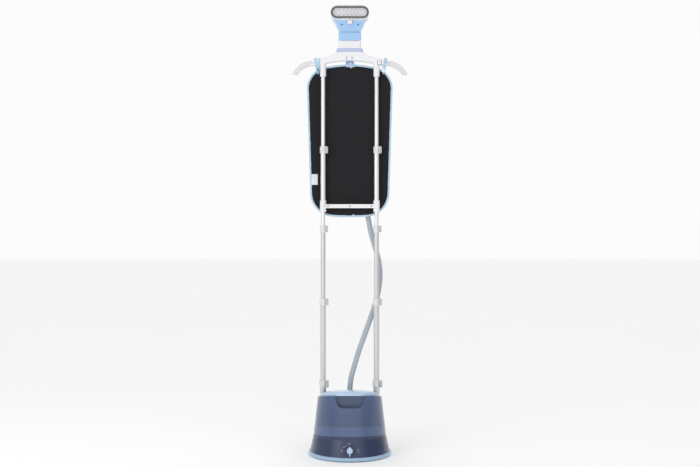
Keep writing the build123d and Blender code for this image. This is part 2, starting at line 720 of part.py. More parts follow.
with BuildPart() as lid_space:
    add(lid_dome(LID_WALL))
    with BuildSketch(Plane.XY.offset(SCOOP_BOTTOM)):
        with Locations((0, FILL_CENTRE)):
            Circle(FILL_RADIUS - SLIDE_GAP)
            Circle(FILL_RADIUS - SLIDE_GAP - SPIGOT_WALL, mode=Mode.SUBTRACT)
    extrude(amount=CONE_TOP - SCOOP_BOTTOM + LID_HEIGHT, mode=Mode.SUBTRACT)
with BuildPart() as spigot:
    with BuildSketch(Plane.XY.offset(SCOOP_BOTTOM)):
        with Locations((0, FILL_CENTRE)):
            Circle(FILL_RADIUS - SLIDE_GAP)
            Circle(FILL_RADIUS - SLIDE_GAP - SPIGOT_WALL, mode=Mode.SUBTRACT)
    extrude(amount=CONE_TOP - SCOOP_BOTTOM)
    split(bisect_by=TANK_ROOF, keep=Keep.BOTTOM)
    split(bisect_by=TANK_ROOF.offset(-SPIGOT_DEPTH), keep=Keep.TOP)
with BuildPart() as tank_lid:
    add(lid_dome(0))
    add(lid_space.part, mode=Mode.SUBTRACT)
    add(spigot.part)
tank_lid.part.label = "tank_lid"
export_step(tank_lid.part, "parts/tank_lid.step")

# Valve cap in the tank's floor, and the plunger that it guides
with BuildPart() as tank_valve_cap:
    with BuildSketch(Plane.XY.offset(SEAT_BOTTOM)):
        with Locations(VALVE_SITE):
            Circle(VALVE_CAP_RADIUS)
            Circle(VALVE_ROD + FIT, mode=Mode.SUBTRACT)
    extrude(amount=VALVE_CAP_TOP - SEAT_BOTTOM)
    split(bisect_by=DECK.offset(TANK_SEAT_GAP), keep=Keep.TOP)
tank_valve_cap.part.label = "tank_valve_cap"
export_step(tank_valve_cap.part, "parts/tank_valve_cap.step")

VALVE_HEAD_BOTTOM = VALVE_CAP_TOP + VALVE_TRAVEL + SLIDE_GAP
with BuildPart() as valve_plunger:
    with BuildSketch(Plane.XY.offset(WAIST_HEIGHT + VALVE_TRAVEL + WALL)):
        with Locations(VALVE_SITE):
            Circle(VALVE_ROD)
    extrude(amount=VALVE_HEAD_BOTTOM - WAIST_HEIGHT - VALVE_TRAVEL - WALL)
    with BuildSketch(Plane.XY.offset(VALVE_HEAD_BOTTOM)):
        with Locations(VALVE_SITE):
            Circle(VALVE_HEAD)
    extrude(amount=VALVE_HEAD_THICKNESS)
valve_plunger.part.label = "valve_plunger"
export_step(valve_plunger.part, "parts/valve_plunger.step")

# Tubes, left and right of each stage
CLAMP_GRIP = CLAMP_HEIGHT / 2 - CLAMP_LIP
TUBES = {
    "base_tube": (BASE_TUBE, PLATE_TOP, BASE_CLAMP_Z + CLAMP_GRIP),
    "lower_tube": (LOWER_TUBE, LOWER_TUBE_BOTTOM, LOWER_CLAMP_Z + CLAMP_GRIP),
    "middle_tube": (MIDDLE_TUBE, MIDDLE_TUBE_BOTTOM, MIDDLE_CLAMP_Z + CLAMP_GRIP),
    "upper_tube": (UPPER_TUBE, UPPER_TUBE_BOTTOM, CROSSBAR_Z - SOCKET_WEB / 2),
    "board_tube": (MIDDLE_TUBE, CROSSBAR_Z + SOCKET_WEB / 2, BOARD_CLAMP_Z + CLAMP_GRIP),
    "hanger_tube": (UPPER_TUBE, HANGER_TUBE_BOTTOM, POLE_SOCKET_BORE_TOP),
}
for tube_name, (radius, bottom, top) in TUBES.items():
    for side, sign in SIDES.items():
        with BuildPart() as tube:
            with BuildSketch(Plane.XY.offset(bottom)):
                with Locations((sign * MAST_X, MAST_Y)):
                    Circle(radius)
                    Circle(radius - TUBE_WALL, mode=Mode.SUBTRACT)
            extrude(amount=top - bottom)
        tube.part.label = f"{tube_name}_{side}"
        export_step(tube.part, f"parts/{tube_name}_{side}.step")

# Clamps: a slit collar on the outer tube, with two ears that hold the lever's trunnions
CLAMPS = {
    "base": (BASE_CLAMP_Z, BASE_TUBE, LOWER_TUBE),
    "lower": (LOWER_CLAMP_Z, LOWER_TUBE, MIDDLE_TUBE),
    "middle": (MIDDLE_CLAMP_Z, MIDDLE_TUBE, UPPER_TUBE),
    "board": (BOARD_CLAMP_Z, MIDDLE_TUBE, UPPER_TUBE),
}


def lever_pin(outer):
    """Where the lever's pin stands, measured from the pole's centre."""
    collar = outer + CLAMP_WALL
    return collar - PIN_OUTSET, -(collar - PIN_INSET)


for clamp_name, (height, outer, inner) in CLAMPS.items():
    collar = outer + CLAMP_WALL
    pin_x, pin_y = lever_pin(outer)
    bottom = height - CLAMP_HEIGHT / 2
    top = height + CLAMP_HEIGHT / 2
    with BuildPart() as clamps:
        for x, y in MAST_SITES:
            with BuildSketch(Plane.XY.offset(bottom)):
                with Locations((x, y)):
                    Circle(collar)
                with Locations((x + (collar + LUG_REACH) / 2, y)):
                    Rectangle(collar + LUG_REACH, 2 * LUG_HALF)
            extrude(amount=CLAMP_HEIGHT)
            for level in (bottom, top - EAR_THICKNESS):
                with BuildSketch(Plane.XY.offset(level)):
                    with Locations((x + pin_x, y + pin_y)):
                        Circle(EAR_RADIUS)
                    with Locations((x + pin_x - PIN_INSET, y + pin_y / 2)):
                        Rectangle(2 * (EAR_RADIUS - PIN_INSET), -pin_y)
                extrude(amount=EAR_THICKNESS)
                with BuildSketch(Plane.XY.offset(level)):
                    with Locations((x + pin_x, y + pin_y)):
                        Circle(TRUNNION + FIT)
                extrude(amount=EAR_THICKNESS, mode=Mode.SUBTRACT)
            with BuildSketch(Plane.XY.offset(bottom)):
                with Locations((x, y)):
                    Circle(outer + FIT)
                with Locations((x + collar, y)):
                    Rectangle(2 * collar, SLIT)
            extrude(amount=CLAMP_HEIGHT - CLAMP_LIP, mode=Mode.SUBTRACT)
            with BuildSketch(Plane.XY.offset(bottom)):
                with Locations((x, y)):
                    Circle(inner + SLIDE_GAP)
            extrude(amount=CLAMP_HEIGHT, mode=Mode.SUBTRACT)
    clamps.part.label = f"{clamp_name}_clamps"
    export_step(clamps.part, f"parts/{clamp_name}_clamps.step")
    for side, sign in SIDES.items():
        x = sign * MAST_X
        plate_inside = collar + LEVER_REACH - LEVER_THICKNESS
        lever_front = pin_y - EAR_RADIUS
        with BuildPart() as lever:
            with BuildSketch(Plane.XY.offset(bottom + GAP)):
                with Locations((x + plate_inside + LEVER_THICKNESS / 2, MAST_Y)):
                    with Locations((0, (lever_front + LEVER_BACK) / 2)):
                        Rectangle(LEVER_THICKNESS, LEVER_BACK - lever_front)
            extrude(amount=CLAMP_HEIGHT - 2 * GAP)
            chamfered = lever.edges().filter_by(Axis.Y).sort_by(Axis.X)[-2:].sort_by(Axis.Z)[-1]
            chamfer(chamfered, length=LEVER_CHAMFER)
            with BuildSketch(Plane.XY.offset(bottom + EAR_THICKNESS + GAP)):
                with Locations((x + pin_x, MAST_Y + pin_y)):
                    Circle(EAR_RADIUS - SLIDE_GAP)
                with Locations((x + (pin_x + plate_inside) / 2 + PIN_INSET, MAST_Y + pin_y)):
                    Rectangle(plate_inside - pin_x, 2 * (EAR_RADIUS - SLIDE_GAP))
            extrude(amount=CLAMP_HEIGHT - 2 * (EAR_THICKNESS + GAP))
            with BuildSketch(Plane.XY.offset(bottom + GAP)):
                with Locations((x + pin_x, MAST_Y + pin_y)):
                    Circle(TRUNNION)
            extrude(amount=CLAMP_HEIGHT - 2 * GAP)
        lever.part.label = f"{clamp_name}_lever_{side}"
        export_step(lever.part, f"parts/{clamp_name}_lever_{side}.step")

# Crossbar with a two-ended socket on each pole, and its three screws
with BuildPart() as crossbar:
    with BuildSketch(Plane.XY.offset(CROSSBAR_Z - CROSSBAR_HEIGHT / 2)):
        with Locations((0, MAST_Y)):
            Rectangle(2 * MAST_X, CROSSBAR_DEPTH)
    extrude(amount=CROSSBAR_HEIGHT)
    with BuildSketch(Plane.XY.offset(CROSSBAR_Z - SOCKET_LENGTH / 2)):
        with Locations(MAST_SITES):
            Circle(SOCKET_RADIUS)
    extrude(amount=SOCKET_LENGTH)
    with BuildSketch(Plane.XY.offset(CROSSBAR_Z - SOCKET_LENGTH / 2)):
        with Locations(MAST_SITES):
            Circle(UPPER_TUBE + FIT)
    extrude(amount=SOCKET_LENGTH / 2 - SOCKET_WEB / 2, mode=Mode.SUBTRACT)
    with BuildSketch(Plane.XY.offset(CROSSBAR_Z + SOCKET_WEB / 2)):
        with Locations(MAST_SITES):
            Circle(MIDDLE_TUBE + FIT)
    extrude(amount=SOCKET_LENGTH / 2 - SOCKET_WEB / 2, mode=Mode.SUBTRACT)
    with BuildSketch(Plane.XZ.offset(CROSSBAR_DEPTH / 2 - MAST_Y)):
        with Locations([(x, CROSSBAR_Z) for x in (-CROSSBAR_SCREW_X, 0, CROSSBAR_SCREW_X)]):
            Circle(SCREW_HEAD + FIT)
    extrude(amount=-SCREW_HEAD_HEIGHT, mode=Mode.SUBTRACT)
crossbar.part.label = "crossbar"
export_step(crossbar.part, "parts/crossbar.step")

with BuildPart() as crossbar_screws:
    with BuildSketch(Plane.XZ.offset(CROSSBAR_DEPTH / 2 - MAST_Y)):
        with Locations([(x, CROSSBAR_Z) for x in (-CROSSBAR_SCREW_X, 0, CROSSBAR_SCREW_X)]):
            Circle(SCREW_HEAD)
    extrude(amount=-SCREW_HEAD_HEIGHT)
crossbar_screws.part.label = "crossbar_screws"
export_step(crossbar_screws.part, "parts/crossbar_screws.step")


def dock_wall(half, front, back, bottom, height):
    """A U-shaped wall open towards the back, with rounded front corners."""
    with BuildPart() as wall:
        with BuildSketch(Plane.XY.offset(bottom)) as plan:
            with Locations((0, (front + back) / 2)):
                Rectangle(2 * half, back - front)
            fillet(plan.vertices().group_by(Axis.Y)[0], radius=DOCK_ROUND)
        extrude(amount=height)
        with BuildSketch(Plane.XY.offset(bottom)):
            with Locations((0, (front + back) / 2 + WALL)):
                Rectangle(2 * (half - WALL), back - front)
        extrude(amount=height, mode=Mode.SUBTRACT)
    return wall.part


# Hanger body: shoulders, pole sockets and the dock's cup
SLOT_HALF_WIDTH = ARM_ROOT + ARM_SLOT_GAP
pivot_x, pivot_z = ARM_PIVOT
with BuildPart() as hanger_body:
    with BuildSketch(Plane.XZ.offset(-HANGER_BACK)):
        with BuildLine():
            Line((0, ARCH_HEIGHT), (0, HANGER_TOP))
            Line((0, HANGER_TOP), (HANGER_NECK_HALF, HANGER_TOP))
            ThreePointArc((HANGER_NECK_HALF, HANGER_TOP), NECK_MID, FLARE_POINT)
            Line(FLARE_POINT, (SHOULDER_X, SHOULDER_TOP))
            Line((SHOULDER_X, SHOULDER_TOP), (SHOULDER_X, SHOULDER_BOTTOM))
            arch_end = (FLARE_POINT[0], SHOULDER_BOTTOM + ARCH_RISE)
            Line((SHOULDER_X, SHOULDER_BOTTOM), arch_end)
            ThreePointArc(arch_end, ARCH_MID, (0, ARCH_HEIGHT))
        make_face()
        mirror(about=Plane.YZ)
    extrude(amount=HANGER_BACK - HANGER_FRONT)
    fillet(hanger_body.edges().group_by(Axis.Y)[0], radius=DOCK_ROUND / 2)
    with BuildSketch(Plane.XY.offset(HANGER_TOP - 2 * TRIM_HEIGHT)):
        with Locations((0, (HANGER_FRONT + TRIM_BACK) / 2)):
            RectangleRounded(2 * (HANGER_NECK_HALF - NECK_SIDE_STEP), TRIM_BACK - HANGER_FRONT, DOCK_ROUND)
    extrude(amount=2 * TRIM_HEIGHT)
    with BuildSketch(Plane.XY.offset(HANGER_TOP)):
        with Locations((0, (TRIM_FRONT + TRIM_BACK) / 2)):
            Rectangle(2 * NECK_HALF, TRIM_BACK - TRIM_FRONT - 4 * WALL)
    extrude(amount=TRIM_HEIGHT)
    with BuildSketch(Plane.XY.offset(TRIM_TOP)):
        with Locations((0, (DOCK_FRONT + TRIM_BACK) / 2)):
            Rectangle(2 * (DOCK_HALF - WALL / 2), TRIM_BACK - DOCK_FRONT - WALL)
    extrude(amount=WALL)
    add(dock_wall(DOCK_HALF, DOCK_FRONT, DOCK_BACK, TRIM_TOP, DOCK_CUP_HEIGHT))
    with BuildSketch(Plane.XY.offset(POLE_SOCKET_BOTTOM)):
        with Locations(MAST_SITES):
            Circle(POLE_SOCKET_RADIUS)
    extrude(amount=POLE_SOCKET_BORE_TOP + 2 * WALL - POLE_SOCKET_BOTTOM)
    with BuildSketch(Plane.XY.offset(POLE_SOCKET_BOTTOM)):
        with Locations(MAST_SITES):
            Circle(UPPER_TUBE + FIT)
    extrude(amount=POLE_SOCKET_BORE_TOP - POLE_SOCKET_BOTTOM, mode=Mode.SUBTRACT)
    with BuildSketch(Plane.XZ.offset(-ARM_BACK - GAP)):
        for sign in SIDES.values():
            with Locations((sign * pivot_x, pivot_z)):
                Rectangle(2 * SLOT_HALF_WIDTH, 4 * SLOT_HALF_WIDTH)
    extrude(amount=ARM_BACK - ARM_FRONT + 2 * GAP, mode=Mode.SUBTRACT)
    with BuildSketch(Plane.XZ.offset(-HANGER_BACK)):
        for sign in SIDES.values():
            with Locations((sign * pivot_x, pivot_z)):
                Circle(ARM_PIN + FIT)
    extrude(amount=HANGER_BACK - HANGER_FRONT, mode=Mode.SUBTRACT)
hanger_body.part.label = "hanger_body"
export_step(hanger_body.part, "parts/hanger_body.step")

# Dock trim under the cup, and dock collar on it
with BuildPart() as dock_trim:
    with BuildSketch(Plane.XY.offset(HANGER_TOP)) as trim_plan:
        with Locations((0, (TRIM_FRONT + TRIM_BACK) / 2)):
            RectangleRounded(2 * HANGER_NECK_HALF, TRIM_BACK - TRIM_FRONT, DOCK_ROUND)
            Rectangle(
                2 * (NECK_HALF + GAP),
                TRIM_BACK - TRIM_FRONT - 4 * WALL + 2 * GAP,
                mode=Mode.SUBTRACT,
            )
    extrude(amount=TRIM_HEIGHT)
dock_trim.part.label = "dock_trim"
export_step(dock_trim.part, "parts/dock_trim.step")

with BuildPart() as dock_collar:
    add(dock_wall(DOCK_HALF, DOCK_FRONT, DOCK_BACK, COLLAR_BOTTOM, DOCK_COLLAR_HEIGHT))
dock_collar.part.label = "dock_collar"
export_step(dock_collar.part, "parts/dock_collar.step")

# Hanger arms, which fold down about a pin through each shoulder
for side, sign in SIDES.items():
    with BuildPart() as arm:
        with BuildSketch(Plane.XZ.offset(-ARM_BACK)):
            with BuildLine():
                root_top = (sign * pivot_x, pivot_z + ARM_ROOT)
                root_bottom = (sign * pivot_x, pivot_z - ARM_ROOT)
                tip_outer = (sign * ARM_TIP_OUTER[0], ARM_TIP_OUTER[1])
                tip_inner = (sign * ARM_TIP_INNER[0], ARM_TIP_INNER[1])
                ThreePointArc(root_top, (sign * ARM_TOP_MID[0], ARM_TOP_MID[1]), tip_outer)
                Line(tip_outer, tip_inner)
                ThreePointArc(tip_inner, (sign * ARM_BOTTOM_MID[0], ARM_BOTTOM_MID[1]), root_bottom)
                ThreePointArc(root_bottom, (sign * (pivot_x - ARM_ROOT), pivot_z), root_top)
            make_face()
        extrude(amount=ARM_BACK - ARM_FRONT)
        with BuildSketch(Plane.XZ.offset(-HANGER_BACK + GAP)):
            with Locations((sign * pivot_x, pivot_z)):
                Circle(ARM_PIN)
        extrude(amount=HANGER_BACK - HANGER_FRONT - 2 * GAP)
    arm.part.label = f"hanger_arm_{side}"
    export_step(arm.part, f"parts/hanger_arm_{side}.step")


def board_outline():
    """The board's outline as a face in the XZ plane."""
    with BuildSketch() as outline:
        with BuildLine():
            Line((0, BOARD_BOTTOM), (0, BOARD_TOP))
            top_curve = ThreePointArc(
                (-BOARD_HALF, BOARD_SHOULDER),
                (0, BOARD_TOP),
                (BOARD_HALF, BOARD_SHOULDER),
                mode=Mode.PRIVATE,
            )
            low_curve = ThreePointArc(
                (-BOARD_LOW_HALF, BOARD_LOW),
                (0, BOARD_BOTTOM),
                (BOARD_LOW_HALF, BOARD_LOW),
                mode=Mode.PRIVATE,
            )
            ThreePointArc((0, BOARD_TOP), top_curve @ 0.75, top_curve @ 1)
            Line((BOARD_HALF, BOARD_SHOULDER), (BOARD_LOW_HALF, BOARD_LOW))
            ThreePointArc(low_curve @ 1, low_curve @ 0.75, (0, BOARD_BOTTOM))
        make_face()
        fillet(outline.vertices().group_by(Axis.X)[-1], radius=BOARD_TOP_ROUND)
        low_corner = outline.vertices().sort_by_distance((BOARD_LOW_HALF, BOARD_LOW))[0]
        fillet(low_corner, radius=BOARD_LOW_ROUND)
        mirror(about=Plane.YZ)
    return outline.sketch


# Pressing board: a stiff covered panel with a binding that grips its edge
BOARD_PLANE = Plane.XZ.offset(-BOARD_FRONT - BINDING_THICKNESS)
PANEL_SINK = (BINDING_THICKNESS - PANEL_THICKNESS) / 2
board_shape = board_outline()
with BuildPart() as board_panel:
    with BuildSketch(BOARD_PLANE.offset(PANEL_SINK)):
        add(board_shape)
        offset(amount=-BINDING_WIDTH / 3, kind=Kind.ARC)
    extrude(amount=PANEL_THICKNESS)
board_panel.part.label = "board_panel"
export_step(board_panel.part, "parts/board_panel.step")

with BuildPart() as board_binding:
    with BuildSketch(BOARD_PLANE):
        add(board_shape)
    extrude(amount=BINDING_THICKNESS)
    with BuildSketch(BOARD_PLANE):
        add(board_shape)
        offset(amount=-BINDING_WIDTH, kind=Kind.ARC)
    extrude(amount=BINDING_THICKNESS, mode=Mode.SUBTRACT)
    add(board_panel.part, mode=Mode.SUBTRACT)
board_binding.part.label = "board_binding"
export_step(board_binding.part, "parts/board_binding.step")

# Board hooks: a fabric loop round each shoulder and a tab under the hanger's centre
LOOP_BACK = BOARD_FRONT
LOOP_FRONT = HANGER_FRONT - LOOP_THICKNESS - 2 * GAP
LOOP_TOP = SHOULDER_TOP + LOOP_RISE
LOOP_FRONT_BOTTOM = SHOULDER_BOTTOM - LOOP_FRONT_DROP
LOOP_BACK_BOTTOM = SHOULDER_BOTTOM - LOOP_BACK_DROP
with BuildPart() as board_hooks:
    for sign in SIDES.values():
        with BuildSketch(Plane.YZ.offset(sign * LOOP_X - LOOP_WIDTH / 2)):
            with BuildLine():
                Polyline(
                    (LOOP_BACK, LOOP_BOTTOM),
                    (LOOP_BACK, LOOP_TOP),
                    (LOOP_FRONT, LOOP_TOP),
                    (LOOP_FRONT, LOOP_FRONT_BOTTOM),
                    (LOOP_BACK - LOOP_THICKNESS, LOOP_BACK_BOTTOM),
                    (LOOP_BACK - LOOP_THICKNESS, LOOP_BOTTOM),
                    close=True,
                )
            make_face()
            with BuildLine():
                Polyline(
                    (LOOP_BACK - LOOP_THICKNESS, LOOP_TOP - LOOP_THICKNESS),
                    (LOOP_FRONT + LOOP_THICKNESS, LOOP_TOP - LOOP_THICKNESS),
                    (LOOP_FRONT + LOOP_THICKNESS, LOOP_FRONT_BOTTOM + LOOP_THICKNESS),
                    (LOOP_BACK - LOOP_THICKNESS, LOOP_BACK_BOTTOM + LOOP_THICKNESS),
                    close=True,
                )
            make_face(mode=Mode.SUBTRACT)
        extrude(amount=LOOP_WIDTH)
    with BuildSketch(Plane.XZ.offset(-BOARD_FRONT)):
        with Locations((0, (HOOK_TOP + HOOK_BOTTOM) / 2)):
            RectangleRounded(2 * HOOK_HALF, HOOK_TOP - HOOK_BOTTOM, HOOK_ROUND)
    extrude(amount=HOOK_THICKNESS)
board_hooks.part.label = "board_hooks"
export_step(board_hooks.part, "parts/board_hooks.step")


def head_front(inset):
    """The steam head's front silhouette in the XZ plane."""
    shoulder_half = FACE_HALF_WIDTH - FACE_HALF_HEIGHT / 2 - inset
    shoulder_level = FACE_Z - FACE_HALF_HEIGHT + HEAD_SHOULDER_RISE
    with BuildSketch() as outline:
        with Locations((0, FACE_Z)):
            SlotOverall(2 * (FACE_HALF_WIDTH - FACE_MARGIN - inset), 2 * (FACE_HALF_HEIGHT - inset))
        with BuildLine():
            Polyline(
                (-HEAD_NECK_HALF + inset, HEAD_BOTTOM + inset),
                (-HEAD_NECK_HALF + inset, HEAD_NECK_TOP),
                (-shoulder_half, shoulder_level),
                (shoulder_half, shoulder_level),
                (HEAD_NECK_HALF - inset, HEAD_NECK_TOP),
                (HEAD_NECK_HALF - inset, HEAD_BOTTOM + inset),
                close=True,
            )
        make_face()
    return outline.sketch


def head_side(inset):
    """The steam head's side silhouette: its front leans forward over the dock."""
    neck_front = DOCK_FRONT + WALL + HEAD_FRONT_LIP
    crown_mid = (CROWN_MID[0] - inset, CROWN_MID[1] - inset)
    with BuildSketch() as outline:
        with BuildLine():
            Line((neck_front + inset, HEAD_BOTTOM + inset), (neck_front + inset, HEAD_NECK_TOP))
            Line((neck_front + inset, HEAD_NECK_TOP), (HEAD_FRONT + inset, FACE_Z - FACE_HALF_HEIGHT))
            Line((HEAD_FRONT + inset, FACE_Z - FACE_HALF_HEIGHT), (HEAD_FRONT + inset, HEAD_TOP))
            Line((HEAD_FRONT + inset, HEAD_TOP), (CROWN_FRONT, HEAD_TOP))
            ThreePointArc((CROWN_FRONT, HEAD_TOP), crown_mid, (HEAD_BACK - inset, CROWN_END))
            Line((HEAD_BACK - inset, CROWN_END), (HEAD_BACK - inset, HEAD_BOTTOM + inset))
            Line((HEAD_BACK - inset, HEAD_BOTTOM + inset), (neck_front + inset, HEAD_BOTTOM + inset))
        make_face()
    return outline.sketch


def head_block(inset):
    """The solid where the steam head's two silhouettes meet."""
    with BuildPart() as block:
        with BuildSketch(Plane.XZ.offset(-HEAD_BACK)):
            add(head_front(inset))
        extrude(amount=HEAD_BACK - HEAD_FRONT)
        with BuildSketch(Plane.YZ):
            add(head_side(inset))
        extrude(amount=FACE_HALF_WIDTH, both=True, mode=Mode.INTERSECT)
    return block.part


# Steam head: a hollow head and neck with the round handle below
with BuildPart() as head_shell:
    add(head_block(0))
    with BuildSketch(Plane.XY.offset(HANDLE_BOTTOM)):
        with Locations((0, HANDLE_Y)):
            Circle(HANDLE_RADIUS)
    extrude(amount=HEAD_BOTTOM + WALL - HANDLE_BOTTOM)
    add(head_block(HEAD_WALL), mode=Mode.SUBTRACT)
    with BuildSketch(Plane.XY.offset(HANDLE_BOTTOM)):
        with Locations((0, HANDLE_Y)):
            Circle(HOSE_RADIUS + SLIDE_GAP)
    extrude(amount=HOSE_END - HANDLE_BOTTOM, mode=Mode.SUBTRACT)
    with BuildSketch(Plane.XY.offset(HOSE_END)):
        with Locations((0, HANDLE_Y)):
            Circle(HOSE_RADIUS - WALL)
    extrude(amount=HEAD_BOTTOM + 2 * WALL - HOSE_END, mode=Mode.SUBTRACT)
head_shell.part.label = "head_shell"
export_step(head_shell.part, "parts/head_shell.step")

# Steam plate with its rows of holes
with BuildPart() as steam_plate:
    with BuildSketch(Plane.XZ.offset(-HEAD_FRONT)):
        with Locations((0, FACE_Z)):
            SlotOverall(2 * FACE_HALF_WIDTH, 2 * (FACE_HALF_HEIGHT + FACE_RIM))
    extrude(amount=FACE_THICKNESS)
    with BuildSketch(Plane.XZ.offset(-HEAD_FRONT)):
        with Locations((0, FACE_Z)):
            with GridLocations(HOLE_PITCH, HOLE_ROWS, HOLE_COUNT, 2):
                Circle(STEAM_HOLE)
            with GridLocations(HOLE_PITCH, 0, HOLE_COUNT - 1, 1):
                Circle(STEAM_HOLE)
    extrude(amount=FACE_THICKNESS, mode=Mode.SUBTRACT)
steam_plate.part.label = "steam_plate"
export_step(steam_plate.part, "parts/steam_plate.step")

# Brush: a ring frame with its clip, and the tufts round it
clip_top = FACE_Z - BRUSH_HALF_HEIGHT + CLIP_OVERLAP
clip_bottom = FACE_Z - CLIP_DROP
with BuildPart() as brush_frame:
    with BuildSketch(Plane.XZ.offset(-FACE_FRONT)):
        with Locations((0, FACE_Z)):
            SlotOverall(2 * BRUSH_HALF_WIDTH, 2 * BRUSH_HALF_HEIGHT)
            SlotOverall(
                2 * (BRUSH_HALF_WIDTH - BRUSH_RIM), 2 * (BRUSH_HALF_HEIGHT - BRUSH_RIM), mode=Mode.SUBTRACT
            )
    extrude(amount=BRUSH_THICKNESS)
    with BuildSketch(Plane.XZ.offset(-FACE_FRONT)):
        with Locations((0, (clip_bottom + clip_top) / 2)):
            Rectangle(2 * CLIP_HALF, clip_top - clip_bottom)
    extrude(amount=CLIP_THICKNESS)
brush_frame.part.label = "brush_frame"
export_step(brush_frame.part, "parts/brush_frame.step")

TUFT_RADIUS = BRUSH_HALF_HEIGHT - BRUSH_RIM / 2
TUFT_STRAIGHT = BRUSH_HALF_WIDTH - BRUSH_HALF_HEIGHT
straight_count = round(2 * TUFT_STRAIGHT / BRISTLE_PITCH)
end_count = round(math.pi * TUFT_RADIUS / BRISTLE_PITCH)
tufts = []
for row in (-1, 1):
    for step in range(straight_count + 1):
        tufts.append((-TUFT_STRAIGHT + 2 * TUFT_STRAIGHT * step / straight_count, FACE_Z + row * TUFT_RADIUS))
    for step in range(1, end_count):
        turn = math.pi * step / end_count
        tufts.append(
            (row * (TUFT_STRAIGHT + TUFT_RADIUS * math.sin(turn)), FACE_Z + TUFT_RADIUS * math.cos(turn))
        )
with BuildPart() as brush_bristles:
    with BuildSketch(Plane.XZ.offset(-BRUSH_FRONT)):
        with Locations(tufts):
            Circle(BRISTLE_RADIUS)
    extrude(amount=BRISTLE_LENGTH)
brush_bristles.part.label = "brush_bristles"
export_step(brush_bristles.part, "parts/brush_bristles.step")

# Hose cuff under the handle
with BuildPart() as hose_cuff:
    with BuildSketch(Plane.XZ.offset(-HANDLE_Y)):
        with BuildLine():
            Polyline(
                (HOSE_RADIUS + SLIDE_GAP, CUFF_BOTTOM),
                (CUFF_TIP, CUFF_BOTTOM),
                (CUFF_RADIUS, HANDLE_BOTTOM - 6),
                (CUFF_RADIUS, HANDLE_BOTTOM),
                (HOSE_RADIUS + SLIDE_GAP, HANDLE_BOTTOM),
                close=True,
            )
        make_face()
    revolve(axis=Axis((0, HANDLE_Y, 0), (0, 0, 1)))
hose_cuff.part.label = "hose_cuff"
export_step(hose_cuff.part, "parts/hose_cuff.step")

# Hose: straight runs joined by tangent arcs, each as large as its two runs allow
route = [Vector(*point) for point in HOSE_ROUTE]
radii = []
for before, corner, after in zip(route, route[1:], route[2:]):
    turn = math.radians((corner - before).get_angle(after - corner))
    run = min((corner - before).length, (after - corner).length)
    radii.append(0.45 * run / math.tan(turn / 2))
hose_path = FilletPolyline(*route, radius=radii)
with BuildPart() as hose:
    with BuildSketch(Plane(hose_path @ 0, z_dir=hose_path % 0)):
        Circle(HOSE_RADIUS)
    sweep(path=hose_path)
hose.part.label = "hose"
export_step(hose.part, "parts/hose.step")
print("hose radii", [round(radius) for radius in radii])
section = math.pi * HOSE_RADIUS**2
print("hose length", round(hose_path.length))
print("hose volume over section times length", round(hose.part.volume / section / hose_path.length, 4))
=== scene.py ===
# %% [markdown]
# # A two-pole garment steamer
# The steamer stands on the floor: a round base with a water tank, a telescoping mast of two poles, a hanger
# with a dock for the steam head, a pressing board behind the poles and a steam hose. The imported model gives
# the frame, and every piece below takes its place from it. Lengths are in metres.

# %% Load the frame
import math

import bmesh
import bpy
from mathutils import Matrix, Vector


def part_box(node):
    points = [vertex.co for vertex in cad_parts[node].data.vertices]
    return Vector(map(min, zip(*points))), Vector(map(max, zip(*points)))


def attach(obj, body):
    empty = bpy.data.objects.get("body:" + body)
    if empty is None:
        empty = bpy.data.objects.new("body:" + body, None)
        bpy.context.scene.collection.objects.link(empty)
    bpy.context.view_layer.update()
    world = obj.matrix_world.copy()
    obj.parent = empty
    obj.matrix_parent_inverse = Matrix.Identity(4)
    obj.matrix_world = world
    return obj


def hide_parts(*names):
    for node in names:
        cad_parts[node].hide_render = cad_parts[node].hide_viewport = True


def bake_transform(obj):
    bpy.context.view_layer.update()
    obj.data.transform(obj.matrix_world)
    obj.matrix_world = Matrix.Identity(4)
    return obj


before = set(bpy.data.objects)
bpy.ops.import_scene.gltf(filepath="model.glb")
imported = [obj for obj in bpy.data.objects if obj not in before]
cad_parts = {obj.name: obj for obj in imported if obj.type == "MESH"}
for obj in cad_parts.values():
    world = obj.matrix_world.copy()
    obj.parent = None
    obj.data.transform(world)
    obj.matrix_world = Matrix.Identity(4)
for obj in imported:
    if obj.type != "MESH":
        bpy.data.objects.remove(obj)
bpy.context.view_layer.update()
MM = 0.001
bpy.ops.object.select_all(action="DESELECT")

# %% [markdown]
# ## Camera
# A product picture is usually taken from far away with a long lens, so that upright poles stay parallel. The
# camera could be aimed at the object, but a level one keeps verticals vertical without any shift, so it
# stands at half the steamer's height and looks straight ahead.

# %% Camera
CAMERA_DISTANCE = 4.0
CAMERA_HEIGHT = 0.853
FOCAL_LENGTH = 53.16
camera_data = bpy.data.cameras.new("camera")
camera_data.lens = FOCAL_LENGTH
camera_data.sensor_width = 36
camera = bpy.data.objects.new("camera", camera_data)
camera.location = (0.0008, -CAMERA_DISTANCE, CAMERA_HEIGHT)
camera.rotation_euler = (math.radians(90), 0, 0)
bpy.context.scene.collection.objects.link(camera)
bpy.context.scene.camera = camera
print("camera", tuple(camera.location))

# %% [markdown]
# ## Working by hand, in code
# These helpers do what a hand does in the viewport: pick one object, apply its transform or a modifier,
# shade it smooth, and put a finished piece on the body that carries it.


# %% Helpers for objects and modifiers
def pick(piece):
    """Selects one object alone and makes it active."""
    bpy.ops.object.select_all(action="DESELECT")
    piece.select_set(True)
    bpy.context.view_layer.objects.active = piece
    return piece


def settle(piece, name):
    """Names a new piece and moves its place into its mesh."""
    pick(piece)
    bpy.ops.object.transform_apply(location=True, rotation=True, scale=True)
    piece.name = name
    piece.data.name = name
    return piece


